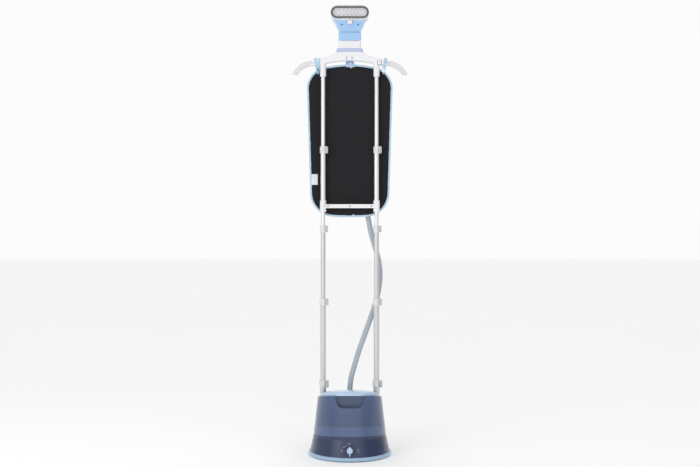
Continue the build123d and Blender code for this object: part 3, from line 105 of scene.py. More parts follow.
def modify(piece, kind, **settings):
    """Adds a modifier with these settings and applies it."""
    pick(piece)
    modifier = piece.modifiers.new(kind.lower(), kind)
    for key, value in settings.items():
        setattr(modifier, key, value)
    bpy.ops.object.modifier_apply(modifier=modifier.name)
    return piece


def smooth(piece, degrees=40):
    """Shades a piece smooth, with sharp edges kept above this angle."""
    pick(piece)
    bpy.ops.object.shade_smooth_by_angle(angle=math.radians(degrees))
    return piece


def dress(piece, material, body, slot, *nodes):
    """Gives a piece its material, its body and its finish, and says which CAD nodes it stands for."""
    piece.data.materials.clear()
    piece.data.materials.append(material)
    if body:
        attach(piece, body)
    if nodes:
        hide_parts(*nodes)
    print(piece.name, len(piece.data.polygons), "faces on", body)
    return piece


# %% [markdown]
# ## Shader maths
# Patterns such as weave and brushed metal are sums and products of waves and noise. Each is a Math node, but
# a chain of those is hard to read, so a small class lets a socket be added and multiplied like a number.


# %% Sockets that can be added and multiplied
class Signal:
    """A socket that Python's operators work on, adding a Math node each."""

    def __init__(self, tree, socket):
        self.tree = tree
        self.socket = socket

    def math(self, operation, *values):
        node = self.tree.nodes.new("ShaderNodeMath")
        node.operation = operation
        for place, value in zip(node.inputs, values):
            if isinstance(value, Signal):
                self.tree.links.new(value.socket, place)
            else:
                place.default_value = value
        return Signal(self.tree, node.outputs[0])

    def __add__(self, other):
        return self.math("ADD", self, other)

    __radd__ = __add__

    def __mul__(self, other):
        return self.math("MULTIPLY", self, other)

    __rmul__ = __mul__

    def __sub__(self, other):
        return self.math("SUBTRACT", self, other)

    def wave(self):
        return self.math("SINE", self)


class Finish:
    """A material under construction, with one method that adds any node."""

    def __init__(self, name, **uniform):
        self.material = bpy.data.materials.new(name)
        self.material.use_nodes = True
        self.tree = self.material.node_tree
        self.shader = self.tree.nodes["Principled BSDF"]
        for key, value in uniform.items():
            self.shader.inputs[key.replace("_", " ").title().replace("Ior", "IOR")].default_value = value

    def node(self, kind, inputs=None, out=0):
        node = self.tree.nodes.new(kind)
        for key, value in (inputs or {}).items():
            self.link(value, node.inputs[key])
        return Signal(self.tree, node.outputs[out])

    def link(self, value, place):
        if isinstance(value, Signal):
            self.tree.links.new(value.socket, place)
        else:
            place.default_value = value

    def feed(self, name, value):
        self.link(value, self.shader.inputs[name])

    def bump(self, height, distance):
        inputs = {"Height": height, "Distance": distance, "Strength": 1.0}
        self.feed("Normal", self.node("ShaderNodeBump", inputs))

    def place(self):
        return self.node("ShaderNodeTexCoord", out="Object")

    def axes(self, vector=None):
        split = self.tree.nodes.new("ShaderNodeSeparateXYZ")
        self.link(vector or self.place(), split.inputs[0])
        return [Signal(self.tree, socket) for socket in split.outputs]

    def noise(self, scale, detail=3.0, roughness=0.5, vector=None):
        return self.node(
            "ShaderNodeTexNoise",
            {"Vector": vector or self.place(), "Scale": scale, "Detail": detail, "Roughness": roughness},
        )

    def blend(self, factor, low, high):
        mixed = self.tree.nodes.new("ShaderNodeMix")
        mixed.data_type = "RGBA"
        self.link(factor, mixed.inputs[0])
        self.link(low, mixed.inputs[6])
        self.link(high, mixed.inputs[7])
        return Signal(self.tree, mixed.outputs[2])

    def range(self, value, low, high, to_low, to_high):
        return self.node(
            "ShaderNodeMapRange",
            {"Value": value, "From Min": low, "From Max": high, "To Min": to_low, "To Max": to_high},
        )


def tint(colour, factor=1.0):
    """A colour as four numbers, made lighter or darker by a factor."""
    return tuple(min(1.0, channel * factor) for channel in colour[:3]) + (1.0,)


# %% [markdown]
# ## Finishes
# The steamer is mostly moulded plastic in four colours. Real mouldings are never one flat colour: the
# mould's fine grain breaks up the gloss, and the colour drifts a little where the wall is thin. One function
# makes them all, so that they look like parts from one factory.

# %% Colours
WHITE = (0.86, 0.86, 0.88)
ARM_WHITE = (0.74, 0.74, 0.76)
SKY = (0.37, 0.60, 0.90)
PALE_SKY = (0.46, 0.62, 0.84)
BAND = (0.48, 0.56, 0.80)
NAVY = (0.024, 0.040, 0.100)
TANK = (0.070, 0.105, 0.205)
RING = (0.36, 0.52, 0.70)
LIGHT_GREY = (0.74, 0.74, 0.75)
# The levers' grey is grey plastic made darker with painted shade of their side faces.
SHADED_LEVER_GREY = (0.52, 0.52, 0.525)
PLATE = (0.84, 0.83, 0.87)
SAND = (0.62, 0.50, 0.36)
SHADOW = (0.10, 0.11, 0.15)
PRINT_GREY = (0.55, 0.60, 0.68)
BLACK = (0.009, 0.009, 0.011)
HOSE_GREY = (0.40, 0.45, 0.49)
BRUSH_GREY = (0.22, 0.22, 0.235)


# %% Moulded plastic
def moulded(name, colour, roughness=0.3, grain=1400, depth=0.02, coat=0.3):
    """Injection-moulded plastic: fine grain, and gloss that varies softly."""
    finish = Finish(name, coat_roughness=0.12, coat_weight=coat)
    drift = finish.noise(9.0, 2.0)
    grained = finish.noise(grain, 2.0, 0.6)
    smudge = finish.noise(34.0, 4.0, 0.62)
    finish.feed("Base Color", finish.blend(drift, tint(colour, 0.93), tint(colour, 1.06)))
    finish.feed("Roughness", finish.range(smudge, 0.3, 0.7, roughness - 0.05, roughness + 0.08))
    finish.bump(grained, depth * MM)
    return finish.material


white_plastic = moulded("white_plastic", WHITE)
arm_plastic = moulded("arm_plastic", ARM_WHITE, 0.42)
sky_plastic = moulded("sky_plastic", SKY, 0.28)
pale_plastic = moulded("pale_plastic", PALE_SKY, 0.22, coat=0.5)
band_plastic = moulded("band_plastic", BAND, 0.3)
navy_plastic = moulded("navy_plastic", NAVY, 0.26, coat=0.35)
ring_plastic = moulded("ring_plastic", RING, 0.34)
clamp_plastic = moulded("clamp_plastic", LIGHT_GREY, 0.4, 900, 0.03)
# Painted shade: the levers' material is darker than the clamps' to stand for shade on their side faces.
shaded_lever_plastic = moulded("shaded_lever_plastic", SHADED_LEVER_GREY, 0.4, 900, 0.03)
plate_plastic = moulded("plate_plastic", PLATE, 0.25)
sand_plastic = moulded("sand_plastic", SAND, 0.4)
brush_plastic = moulded("brush_plastic", BRUSH_GREY, 0.4)
shadow_plastic = moulded("shadow_plastic", SHADOW, 0.5)
print_white = moulded("print_white", PRINT_GREY, 0.5)
black_plastic = moulded("black_plastic", BLACK, 0.45, 900, 0.03, coat=0.1)
print("plastics", len(bpy.data.materials))

# %% [markdown]
# ### Tinted tank
# The tank is smoky blue plastic. A line climbs round its wall towards the front, with a lighter band below
# it, and above the line the wall is painted lighter towards the top: painted light. Real glass shading would
# be slow and noisy, so the wall is a glossy plastic whose colour follows a sloping height: z plus a share of
# y is level along that line.


# %% Tinted tank
LINE_HEIGHT = 0.112
LINE_SLOPE = 0.12
LINE_SOFT = 0.003


def tinted_tank():
    """Glossy smoky plastic with a climbing line, a lighter band below it, and painted light above it."""
    finish = Finish("tinted_tank", coat_weight=0.45, coat_roughness=0.08, ior=1.47)
    across, y, z = finish.axes()
    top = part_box("water_tank")[1].z
    climb = z + y * LINE_SLOPE
    above = finish.range(climb, LINE_HEIGHT - LINE_SOFT, LINE_HEIGHT + LINE_SOFT, 0.0, 1.0)
    # Painted light: above the line the wall runs from darker to lighter towards the top, as if lit from
    # above.
    painted_top_light = finish.range(climb, LINE_HEIGHT, top, 0.0, 1.0)
    cloud = finish.noise(6.0, 2.0)
    wall = finish.blend(painted_top_light + (cloud - 0.5) * 0.5, tint(TANK, 0.88), tint(TANK, 1.12))
    band = finish.blend(cloud, tint(TANK, 1.12), tint(TANK, 1.3))
    finish.feed("Base Color", finish.blend(above, band, wall))
    finish.feed("Roughness", finish.range(finish.noise(40.0), 0.3, 0.7, 0.16, 0.24))
    finish.bump(finish.noise(300.0, 2.0), 0.01 * MM)
    return finish.material


tank_plastic = tinted_tank()

# %% [markdown]
# ### Metal
# The poles are satin silver. Drawn tube carries very fine lines along its length, so the noise is stretched
# along Z by scaling the coordinates, and it feeds both roughness and a faint bump.


# %% Satin tube and steel
def satin_tube(name, colour, roughness):
    """Drawn metal with fine lines along Z."""
    finish = Finish(name, metallic=0.55, coat_weight=0.15, coat_roughness=0.2)
    stretch = finish.node("ShaderNodeMapping", {"Vector": finish.place(), "Scale": (900.0, 900.0, 6.0)})
    lines = finish.noise(1.0, 3.0, 0.6, stretch)
    finish.feed("Base Color", finish.blend(lines, tint(colour, 0.96), tint(colour, 1.04)))
    finish.feed("Roughness", finish.range(lines, 0.3, 0.7, roughness - 0.04, roughness + 0.06))
    finish.bump(lines, 0.012 * MM)
    return finish.material


pole_silver = satin_tube("pole_silver", (0.66, 0.66, 0.67), 0.34)
pole_white = satin_tube("pole_white", (0.84, 0.84, 0.85), 0.36)
screw_steel = satin_tube("screw_steel", (0.50, 0.50, 0.52), 0.3)

# %% [markdown]
# ### Rubber
# Feet, cuff and socket are dull rubber. Handling leaves a pale bloom on it, so a fine cloud of noise moves
# both its colour and its roughness.


# %% Rubber
def rubber(name, colour, roughness=0.62):
    """Dull rubber with a dusty bloom."""
    finish = Finish(name, specular_ior_level=0.35)
    dust = finish.noise(60.0, 5.0, 0.65)
    finish.feed("Base Color", finish.blend(dust, tint(colour, 0.9), tint(colour, 1.12)))
    finish.feed("Roughness", finish.range(dust, 0.3, 0.7, roughness - 0.06, roughness + 0.1))
    finish.bump(finish.noise(1800.0, 2.0), 0.03 * MM)
    return finish.material


foot_rubber = rubber("foot_rubber", (0.02, 0.02, 0.022))
cuff_rubber = rubber("cuff_rubber", tint(HOSE_GREY, 0.6))

# %% [markdown]
# ### Cloth
# The board is covered in a black woven cloth with fine upright ribs, and edged with a light-blue tape. A
# weave is two crossed sine waves: where one thread is up the other is down. The product of the waves gives
# the over-and-under, and a soft noise keeps the threads from looking printed.


# %% Woven cloth
def woven(name, colour, thread, rib, shine, height):
    """Cloth with crossed threads, upright ribs and soft wear."""
    finish = Finish(name, sheen_weight=shine, sheen_roughness=0.5, specular_ior_level=0.25)
    x, deep, z = finish.axes()
    wobble = finish.noise(45.0, 2.0) * 0.6
    warp = (x * (2 * math.pi / thread) + wobble).wave()
    weft = (z * (2 * math.pi / thread) + wobble).wave()
    cross = warp * weft
    ribs = (x * (2 * math.pi / rib)).wave() * 0.5
    threads = cross * 0.5 + ribs + 0.5
    worn = finish.noise(14.0, 4.0, 0.6)
    mix = threads * 0.7 + worn * 0.5
    finish.feed("Base Color", finish.blend(mix, tint(colour, 0.6), tint(colour, 1.5)))
    finish.feed("Roughness", finish.range(worn, 0.3, 0.7, 0.78, 0.92))
    finish.bump(threads, height)
    return finish.material


board_cloth = woven("board_cloth", BLACK, 1.3 * MM, 3.6 * MM, 0.25, 0.18 * MM)
edge_tape_cloth = woven("edge_tape", (0.42, 0.58, 0.82), 0.8 * MM, 2.4 * MM, 0.3, 0.1 * MM)
label_cloth = woven("label_cloth", (0.80, 0.81, 0.84), 0.6 * MM, 1.2 * MM, 0.1, 0.05 * MM)
loop_cloth = woven("loop_tape", (0.36, 0.56, 0.86), 0.8 * MM, 2.0 * MM, 0.3, 0.1 * MM)

# %% [markdown]
# ### Braided sleeve
# The hose wears a braided sleeve. Two sets of slanting waves, one each way round, cross on the tube's UV map,
# so the braid bends with the hose.


# %% Braided hose
def braided_hose():
    """A hose sleeve: fine diagonal braid that follows the tube's own UV map."""
    finish = Finish("hose_sleeve", sheen_weight=0.2, sheen_roughness=0.4, specular_ior_level=0.35)
    around, along, rest = finish.axes(finish.node("ShaderNodeTexCoord", out="UV"))
    turns = 14
    pitch = 150
    left = (around * (2 * math.pi * turns) + along * (2 * math.pi * pitch)).wave()
    right = (around * (2 * math.pi * turns) - along * (2 * math.pi * pitch)).wave()
    braid = (left * right) * 0.5 + 0.5
    dirt = finish.noise(22.0, 4.0, 0.6)
    mix = braid * 0.6 + dirt * 0.5
    finish.feed("Base Color", finish.blend(mix, tint(HOSE_GREY, 0.8), tint(HOSE_GREY, 1.3)))
    finish.feed("Roughness", finish.range(dirt, 0.3, 0.7, 0.48, 0.62))
    finish.bump(braid, 0.25 * MM)
    return finish.material


hose_sleeve = braided_hose()
print("finishes", len(bpy.data.materials))

# %% [markdown]
# ## The hose
# The hose is a fixed length of something springy, so its line is one smooth NURBS curve through a listed
# route: straight up out of the base, behind the right pole with a lazy bulge, and up behind the board into
# the handle. A curve with a bevel would already look like a tube, but a mesh tube has a UV map that the
# braid can follow, so rings are placed along the curve's own points.

# %% Hose route and tube
HOSE_RADIUS = 10.5 * MM
HOSE_SIDES = 28
HOSE_ROUTE = [
    (0, 64, 218),
    (0, 64, 270),
    (17, 69, 330),
    (37, 77, 395),
    (65, 86, 470),
    (97, 93, 560),
    (118, 97, 640),
    (121, 98, 715),
    (105, 100, 785),
    (85, 102, 848),
    (72, 104, 918),
    (62, 107, 990),
    (46, 109, 1075),
    (25, 110, 1157),
    (8, 109, 1240),
    (0, 108, 1340),
    (0, 108, 1440),
]


def spline_points(name, route):
    """Points along a smooth NURBS curve whose control points are the route."""
    curve = bpy.data.curves.new(name, "CURVE")
    curve.dimensions = "3D"
    spline = curve.splines.new("NURBS")
    spline.points.add(len(route) - 1)
    for point, place in zip(spline.points, route):
        point.co = (*(Vector(place) * MM), 1)
    spline.order_u = 3
    spline.use_endpoint_u = True
    spline.resolution_u = 12
    line = bpy.data.objects.new(name, curve)
    bpy.context.scene.collection.objects.link(line)
    bpy.context.view_layer.update()
    mesh = bpy.data.meshes.new_from_object(line)
    points = [vertex.co.copy() for vertex in mesh.vertices]
    bpy.data.objects.remove(line)
    bpy.data.meshes.remove(mesh)
    return points


def tube(name, points, radius, sides):
    """A mesh tube along the points, with a UV map that runs round and along it."""
    shape = bmesh.new()
    uv_layer = shape.loops.layers.uv.new("UVMap")
    rings = []
    lengths = [0.0]
    side = Vector((1, 0, 0))
    for index, point in enumerate(points):
        ahead = points[min(index + 1, len(points) - 1)] - points[max(index - 1, 0)]
        ahead.normalize()
        side = (side - ahead * side.dot(ahead)).normalized()
        up = ahead.cross(side)
        angles = [2 * math.pi * step / sides for step in range(sides)]
        spokes = [side * math.cos(angle) + up * math.sin(angle) for angle in angles]
        rings.append([shape.verts.new(point + spoke * radius) for spoke in spokes])
        if index:
            lengths.append(lengths[-1] + (point - points[index - 1]).length)
    for index in range(len(rings) - 1):
        for step in range(sides):
            after = (step + 1) % sides
            face = shape.faces.new(
                (rings[index][step], rings[index][after], rings[index + 1][after], rings[index + 1][step])
            )
            face.smooth = True
            around = [step / sides, (step + 1) / sides, (step + 1) / sides, step / sides]
            along = [lengths[index], lengths[index], lengths[index + 1], lengths[index + 1]]
            for loop, u, v in zip(face.loops, around, along):
                loop[uv_layer].uv = (u, v)
    shape.faces.new(reversed(rings[0]))
    shape.faces.new(rings[-1])
    mesh = bpy.data.meshes.new(name)
    shape.to_mesh(mesh)
    shape.free()
    made = bpy.data.objects.new(name, mesh)
    bpy.context.scene.collection.objects.link(made)
    return made, lengths[-1]


hose_line = spline_points("hose_route", HOSE_ROUTE)
steam_hose, hose_length = tube("steam_hose", hose_line, HOSE_RADIUS, HOSE_SIDES)
dress(steam_hose, hose_sleeve, None, "hose", "hose")
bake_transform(steam_hose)
print("hose", round(hose_length, 3), "m")

# %% [markdown]
# ## Carried-over parts
# Turned and drawn parts such as tubes, the housing and the lid already have their true shape in the packed
# model. They stay, and only their material slots change.


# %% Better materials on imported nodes
def wear(material, *nodes):
    for node in nodes:
        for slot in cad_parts[node].material_slots:
            slot.material = material
    print(material.name, "on", len(nodes), "nodes")


SIDES = ("left", "right")
STAGES = ("base", "lower", "middle", "upper", "board", "hanger")
wear(pole_silver, *[f"{stage}_tube_{side}" for stage in STAGES[:3] for side in SIDES])
wear(pole_white, *[f"{stage}_tube_{side}" for stage in STAGES[3:] for side in SIDES])
wear(navy_plastic, "lower_housing", "rear_column", "dial_plate", "tank_seat")
wear(tank_plastic, "water_tank")
wear(pale_plastic, "tank_lid")
wear(ring_plastic, "base_ring")
wear(black_plastic, "base_plate", "cord_gland", "rotary_switch", "terminal_block")
wear(foot_rubber, "rubber_feet")
wear(cuff_rubber, "hose_socket", "hose_cuff")
wear(screw_steel, "base_screws", "crossbar_screws", "heater_block", "water_pipe", "steam_pipe")
wear(white_plastic, "tank_valve_cap", "valve_plunger")

# %% [markdown]
# ## Softened mouldings
# A moulded part has no sharp edge anywhere, and the levers and clamps catch the light on their rounded edges.
# A bevel would need clean edges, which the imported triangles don't have, so a copy is merged, rebuilt as an
# even skin of small squares and smoothed: each pass rounds the edges a little more, and flat faces stay flat.


# %% Rounded copies
def rounded(node, voxel, passes, material, body):
    """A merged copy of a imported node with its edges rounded, standing for that node."""
    piece = bpy.data.objects.new("soft_" + node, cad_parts[node].data.copy())
    bpy.context.scene.collection.objects.link(piece)
    pick(piece)
    bpy.ops.object.mode_set(mode="EDIT")
    bpy.ops.mesh.select_all(action="SELECT")
    bpy.ops.mesh.remove_doubles(threshold=0.001 * MM)
    bpy.ops.object.mode_set(mode="OBJECT")
    modify(piece, "REMESH", mode="VOXEL", voxel_size=voxel * MM)
    modify(piece, "SMOOTH", factor=0.5, iterations=passes)
    bpy.ops.object.shade_smooth()
    return dress(piece, material, body, node, node)


CLAMP_BODIES = {"base": "base", "lower": "lower_stage", "middle": "middle_stage", "board": "upper_stage"}
for stage, carrier in CLAMP_BODIES.items():
    rounded(f"{stage}_clamps", 0.8, 5, clamp_plastic, carrier)
    for side in SIDES:
        lever = f"{stage}_lever_{side}"
        rounded(lever, 0.5, 5, shaded_lever_plastic, lever)

# %% [markdown]
# The crossbar, the hanger, its dock and its two arms are the white family of parts. The hanger body is one
# big soft moulding, so its edges get many more passes than the small dock rings.

# %% White family
rounded("crossbar", 0.9, 6, white_plastic, "upper_stage")
rounded("hanger_body", 1.6, 9, white_plastic, "hanger")
rounded("dock_trim", 0.9, 4, band_plastic, "hanger")
rounded("dock_collar", 1.0, 4, sky_plastic, "hanger")
for side in SIDES:
    rounded(f"hanger_arm_{side}", 1.0, 10, arm_plastic, f"arm_{side}")

# %% [markdown]
# The knob is small and close to the eye's path, so it gets the finest skin.

# %% Knob
rounded("control_knob", 0.5, 5, pale_plastic, "knob")

# %% [markdown]
# ## Steam head
# The head is a smooth light-blue shell that widens to the steam plate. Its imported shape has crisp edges;
# sixteen passes of smoothing turn them into the broad soft ones of a hand tool.

# %% Head shell and steam plate
rounded("head_shell", 1.6, 16, sky_plastic, "head")
rounded("steam_plate", 0.9, 3, plate_plastic, "head")

# %% [markdown]
# ### Fabric brush
# A grey stadium ring carries the dark bristle tufts, and clips over the steam plate with a white tongue
# below. The tongue is part of the same moulding here, so its faces get a second material, chosen by place.

# %% Brush ring
CLIP_HALF = 9.2 * MM
CLIP_TOP = 1.6935
brush_ring = rounded("brush_frame", 0.6, 4, brush_plastic, "brush")
brush_ring.data.materials.append(white_plastic)
for face in brush_ring.data.polygons:
    if abs(face.center.x) < CLIP_HALF and face.center.z < CLIP_TOP:
        face.material_index = 1

# %% [markdown]
# Each tuft is a bundle of a few tapered bristles that stand side by side. One bundle is modelled from cones,
# joined, and copied to the middle of every packed tuft.


# %% Bristle tufts
def island_centres(node, merge=0.02 * MM):
    """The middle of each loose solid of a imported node."""
    shape = bmesh.new()
    shape.from_mesh(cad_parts[node].data)
    bmesh.ops.remove_doubles(shape, verts=shape.verts, dist=merge)
    waiting = set(shape.verts)
    centres = []
    while waiting:
        island = []
        queue = [waiting.pop()]
        while queue:
            vertex = queue.pop()
            island.append(vertex.co.copy())
            for edge in vertex.link_edges:
                other = edge.other_vert(vertex)
                if other in waiting:
                    waiting.remove(other)
                    queue.append(other)
        low = Vector([min(point[axis] for point in island) for axis in range(3)])
        high = Vector([max(point[axis] for point in island) for axis in range(3)])
        centres.append((low + high) / 2)
    shape.free()
    return centres


tuft_low, tuft_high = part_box("brush_bristles")
tuft_places = island_centres("brush_bristles")
print("tufts", len(tuft_places), "from", round(tuft_low.y, 4), "to", round(tuft_high.y, 4))

# %% [markdown]
# A bristle is a thin tapered cone. Six stand round a seventh, and joining them makes one light bundle.


# %% One bundle, copied to every tuft
BUNDLE_BRISTLES = 7
BRISTLE_THICK = 0.5 * MM
BUNDLE_RADIUS = 1.3 * MM


def bristle_bundle():
    """Seven tapered bristles round one root, pointing along -Y."""
    cones = []
    for index in range(BUNDLE_BRISTLES):
        turn = 2 * math.pi * index / (BUNDLE_BRISTLES - 1)
        reach = BUNDLE_RADIUS if index else 0.0
        length = (tuft_high.y - tuft_low.y) * (1 - 0.05 * (index % 3))
        bpy.ops.mesh.primitive_cone_add(
            vertices=6,
            radius1=BRISTLE_THICK,
            radius2=BRISTLE_THICK * 0.6,
            depth=length,
            location=(reach * math.cos(turn), -length / 2, reach * math.sin(turn)),
            rotation=(math.radians(90), 0, 0),
        )
        cones.append(settle(bpy.context.object, "bristle"))
    pick(cones[0])
    for cone in cones:
        cone.select_set(True)
    bpy.ops.object.join()
    return bpy.context.object


bundle = bristle_bundle()
bundles = []
for centre in tuft_places:
    copy = bpy.data.objects.new("bundle", bundle.data.copy())
    bpy.context.scene.collection.objects.link(copy)
    copy.data.transform(Matrix.Translation((centre.x, tuft_high.y, centre.z)))
    bundles.append(copy)
bpy.data.objects.remove(bundle)
pick(bundles[0])
for copy in bundles:
    copy.select_set(True)
bpy.ops.object.join()
bristles = settle(bpy.context.object, "bristle_tufts")
dress(bristles, black_plastic, "brush", "brush_bristles", "brush_bristles")

# %% [markdown]
# ### Small details of the head
# Two navy dots sit on the shell's front, and the clip has a sand-coloured latch. They are small lens shapes:
# a sphere pressed flat, with its place found by a ray cast onto the shell's real front.


# %% Dots and latch
def front_of(piece, x, z, start=-1.0):
    """Where a line that runs along +Y first meets a piece."""
    bpy.context.view_layer.update()
    hit, place, normal, index = piece.ray_cast(Vector((x, start, z)), Vector((0, 1, 0)))
    if not hit:
        raise ValueError(f"nothing of {piece.name} at {x}, {z}")
    return place


def lens(name, place, size, material, body, slot):
    """A flattened sphere, as a button or a printed dot stands on a surface."""
    bpy.ops.mesh.primitive_uv_sphere_add(segments=24, ring_count=12, radius=0.5, location=place)
    piece = bpy.context.object
    piece.scale = size
    settle(piece, name)
    bpy.ops.object.shade_smooth()
    return dress(piece, material, body, slot)


def block(name, place, size, edge, material, body, slot, turn=0.0, segments=3):
    """A small moulded block with rounded edges, turned about Y by an angle in degrees."""
    bpy.ops.mesh.primitive_cube_add(size=1.0, location=place)
    piece = bpy.context.object
    piece.scale = size
    piece.rotation_euler = (0, math.radians(turn), 0)
    settle(piece, name)
    modify(piece, "BEVEL", width=edge, segments=segments, limit_method="NONE")
    smooth(piece)
    return dress(piece, material, body, slot)


DOT_SIZE = (7 * MM, 1.6 * MM, 7 * MM)
DOT_HEIGHT = 1.6715
LATCH_SIZE = (6 * MM, 1.6 * MM, 9 * MM)
LATCH_HEIGHT = 1.690
head_shell = bpy.data.objects["soft_head_shell"]
for side, x in (("left", -0.031), ("right", 0.032)):
    spot = front_of(head_shell, x, DOT_HEIGHT)
    lens(f"head_dot_{side}", spot, DOT_SIZE, navy_plastic, "head", "head_shell")
clip_face = front_of(brush_ring, 0.0, LATCH_HEIGHT)
block("brush_latch", clip_face, LATCH_SIZE, 0.6 * MM, sand_plastic, "brush", "brush_frame")

# %% [markdown]
# ## Pressing board
# The board is a stiff sheet under a black fabric cover. The cover is pulled tight, so cloth simulation would
# only swell it like a cushion; instead the panel is rebuilt as an even skin, crowned by a millimetre towards
# its middle, and given the faint ripples that a drawn cover has.


# %% Board cover
BOARD_CROWN = 1.0 * MM
BOARD_RIPPLE = 0.35 * MM
board_low, board_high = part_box("board_panel")
cover = rounded("board_panel", 3.2, 8, board_cloth, None)
middle = (board_low + board_high) / 2
half = (board_high - board_low) / 2
for vertex in cover.data.vertices:
    across = (vertex.co.x - middle.x) / half.x
    up = (vertex.co.z - middle.z) / half.z
    rim = max(0.0, 1 - across**4) * max(0.0, 1 - up**4)
    ripple = math.sin(vertex.co.x * 61 + 3 * up) * math.sin(vertex.co.z * 37 + 2 * across)
    side = -1 if vertex.co.y < middle.y else 1
    vertex.co.y += side * rim * BOARD_CROWN * 0.6 + side * rim * BOARD_RIPPLE * ripple
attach(cover, "hanger")

# %% [markdown]
# ### Edge tape
# A folded tape closes the cover's edge all the way round. Its packed ring only needs rounding.

# %% Edge tape
rounded("board_binding", 1.2, 5, edge_tape_cloth, "hanger")

# %% [markdown]
# ### Stitching
# The seam beside the tape is a row of short stitches: the outline of the panel is read, drawn in by a few
# millimetres, and walked in even steps, with one stitch modelled and copied to each.


# %% Stitches
def outline_of(node, y, inset):
    """The rim of a flat node's front face, in order round its middle, drawn in by an inset."""
    face = [v.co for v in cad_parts[node].data.vertices if abs(v.co.y - y) < 0.05 * MM]
    points = {(round(co.x, 5), round(co.z, 5)) for co in face}
    centre = Vector((middle.x, middle.z))
    ring = sorted(points, key=lambda point: math.atan2(point[1] - centre.y, point[0] - centre.x))
    ring = [Vector(point) for point in ring]
    drawn = []
    for index, point in enumerate(ring):
        along = (ring[(index + 1) % len(ring)] - ring[index - 1]).normalized()
        inward = Vector((-along.y, along.x))
        drawn.append(point + inward * inset)
    return drawn


def even_steps(ring, step):
    """Points and directions at even steps along a closed line."""
    places = []
    ahead = 0.0
    for index, point in enumerate(ring):
        run = ring[(index + 1) % len(ring)] - point
        length = run.length
        if length == 0:
            continue
        while ahead < length:
            places.append((point + run * (ahead / length), math.atan2(run.y, run.x)))
            ahead += step
        ahead -= length
    return places


STITCH_STEP = 5.0 * MM
STITCH_SIZE = (3.2 * MM, 0.5 * MM, 0.6 * MM)
TAPE_INSET = 3.2 * MM
stitch_line = even_steps(outline_of("board_panel", board_low.y, TAPE_INSET), STITCH_STEP)
bpy.ops.mesh.primitive_cube_add(size=1.0)
stitch = bpy.context.object
stitch.scale = STITCH_SIZE
settle(stitch, "stitch")
modify(stitch, "BEVEL", width=0.2 * MM, segments=1, limit_method="NONE")
tape_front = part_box("board_binding")[0].y
row = []
for place, angle in stitch_line:
    copy = bpy.data.objects.new("stitch", stitch.data.copy())
    bpy.context.scene.collection.objects.link(copy)
    seat = Matrix.Translation((place.x, tape_front + 0.1 * MM, place.y)) @ Matrix.Rotation(-angle, 4, "Y")
    copy.data.transform(seat)
    row.append(copy)
bpy.data.objects.remove(stitch)
pick(row[0])
for copy in row:
    copy.select_set(True)
bpy.ops.object.join()
stitches = settle(bpy.context.object, "edge_stitching")
dress(stitches, pale_plastic, "hanger", "board_binding")
print("stitches", len(stitch_line))

# %% [markdown]
# ### Ribbons and hooks
# The board hangs from the hanger by fabric ribbons: a V of two over the left shoulder, one slanting ribbon
# over the right one, and a tab under the middle. A ribbon starts as a plane one step long. Its last edge is
# extruded from point to point, and Solidify gives it the thickness of a folded tape.


# %% Ribbons over the shoulders
RIBBON_THICK = 1.1 * MM


def ribbon(name, path, width, material, body, slot):
    """A flat tape whose width lies along X, extruded through the points of a path."""
    points = [Vector(point) * MM for point in path]
    half = Vector((width / 2, 0, 0))
    bpy.ops.mesh.primitive_plane_add(size=1.0)
    piece = bpy.context.object
    corners = (points[0] - half, points[0] + half, points[1] - half, points[1] + half)
    for vertex, corner in zip(piece.data.vertices, corners):
        vertex.co = corner
    for edge in piece.data.edges:
        edge.select = all((piece.data.vertices[i].co - points[1]).length < width for i in edge.vertices)
    for before, after in zip(points[1:], points[2:]):
        bpy.ops.object.mode_set(mode="EDIT")
        bpy.ops.mesh.select_mode(type="VERT")
        bpy.ops.mesh.select_all(action="DESELECT")
        bpy.ops.object.mode_set(mode="OBJECT")
        for vertex in piece.data.vertices:
            vertex.select = abs((vertex.co - before).length - width / 2) < 0.01 * MM
        bpy.ops.object.mode_set(mode="EDIT")
        bpy.ops.mesh.extrude_region_move(TRANSFORM_OT_translate={"value": after - before})
        bpy.ops.object.mode_set(mode="OBJECT")
    settle(piece, name)
    modify(piece, "SUBSURF", levels=2, render_levels=2)
    modify(piece, "SOLIDIFY", thickness=RIBBON_THICK, offset=0.0)
    pick(piece)
    bpy.ops.object.mode_set(mode="EDIT")
    bpy.ops.mesh.select_all(action="SELECT")
    bpy.ops.mesh.normals_make_consistent(inside=False)
    bpy.ops.object.mode_set(mode="OBJECT")
    smooth(piece)
    return dress(piece, material, body, slot)


def over_shoulder(top_x, foot_x):
    """A tape's way up the shoulder's front, over it and down to the board's front."""
    return [
        (foot_x, 46.6, 1487),
        (foot_x, 46.6, 1493),
        ((top_x + foot_x) / 2, 46.6, 1515),
        (top_x, 46.6, 1534),
        (top_x, 48.5, 1540),
        (top_x, 60, 1542),
        (top_x, 72, 1540),
        (top_x, 74.6, 1530),
        (foot_x, 74.8, 1478),
    ]


ribbon("left_ribbon_outer", over_shoulder(-135, -126), 9 * MM, loop_cloth, "hanger", "board_hooks")
ribbon("left_ribbon_inner", over_shoulder(-119, -123), 6 * MM, loop_cloth, "hanger", "board_hooks")
ribbon("right_ribbon", over_shoulder(141, 131), 11 * MM, loop_cloth, "hanger", "board_hooks")
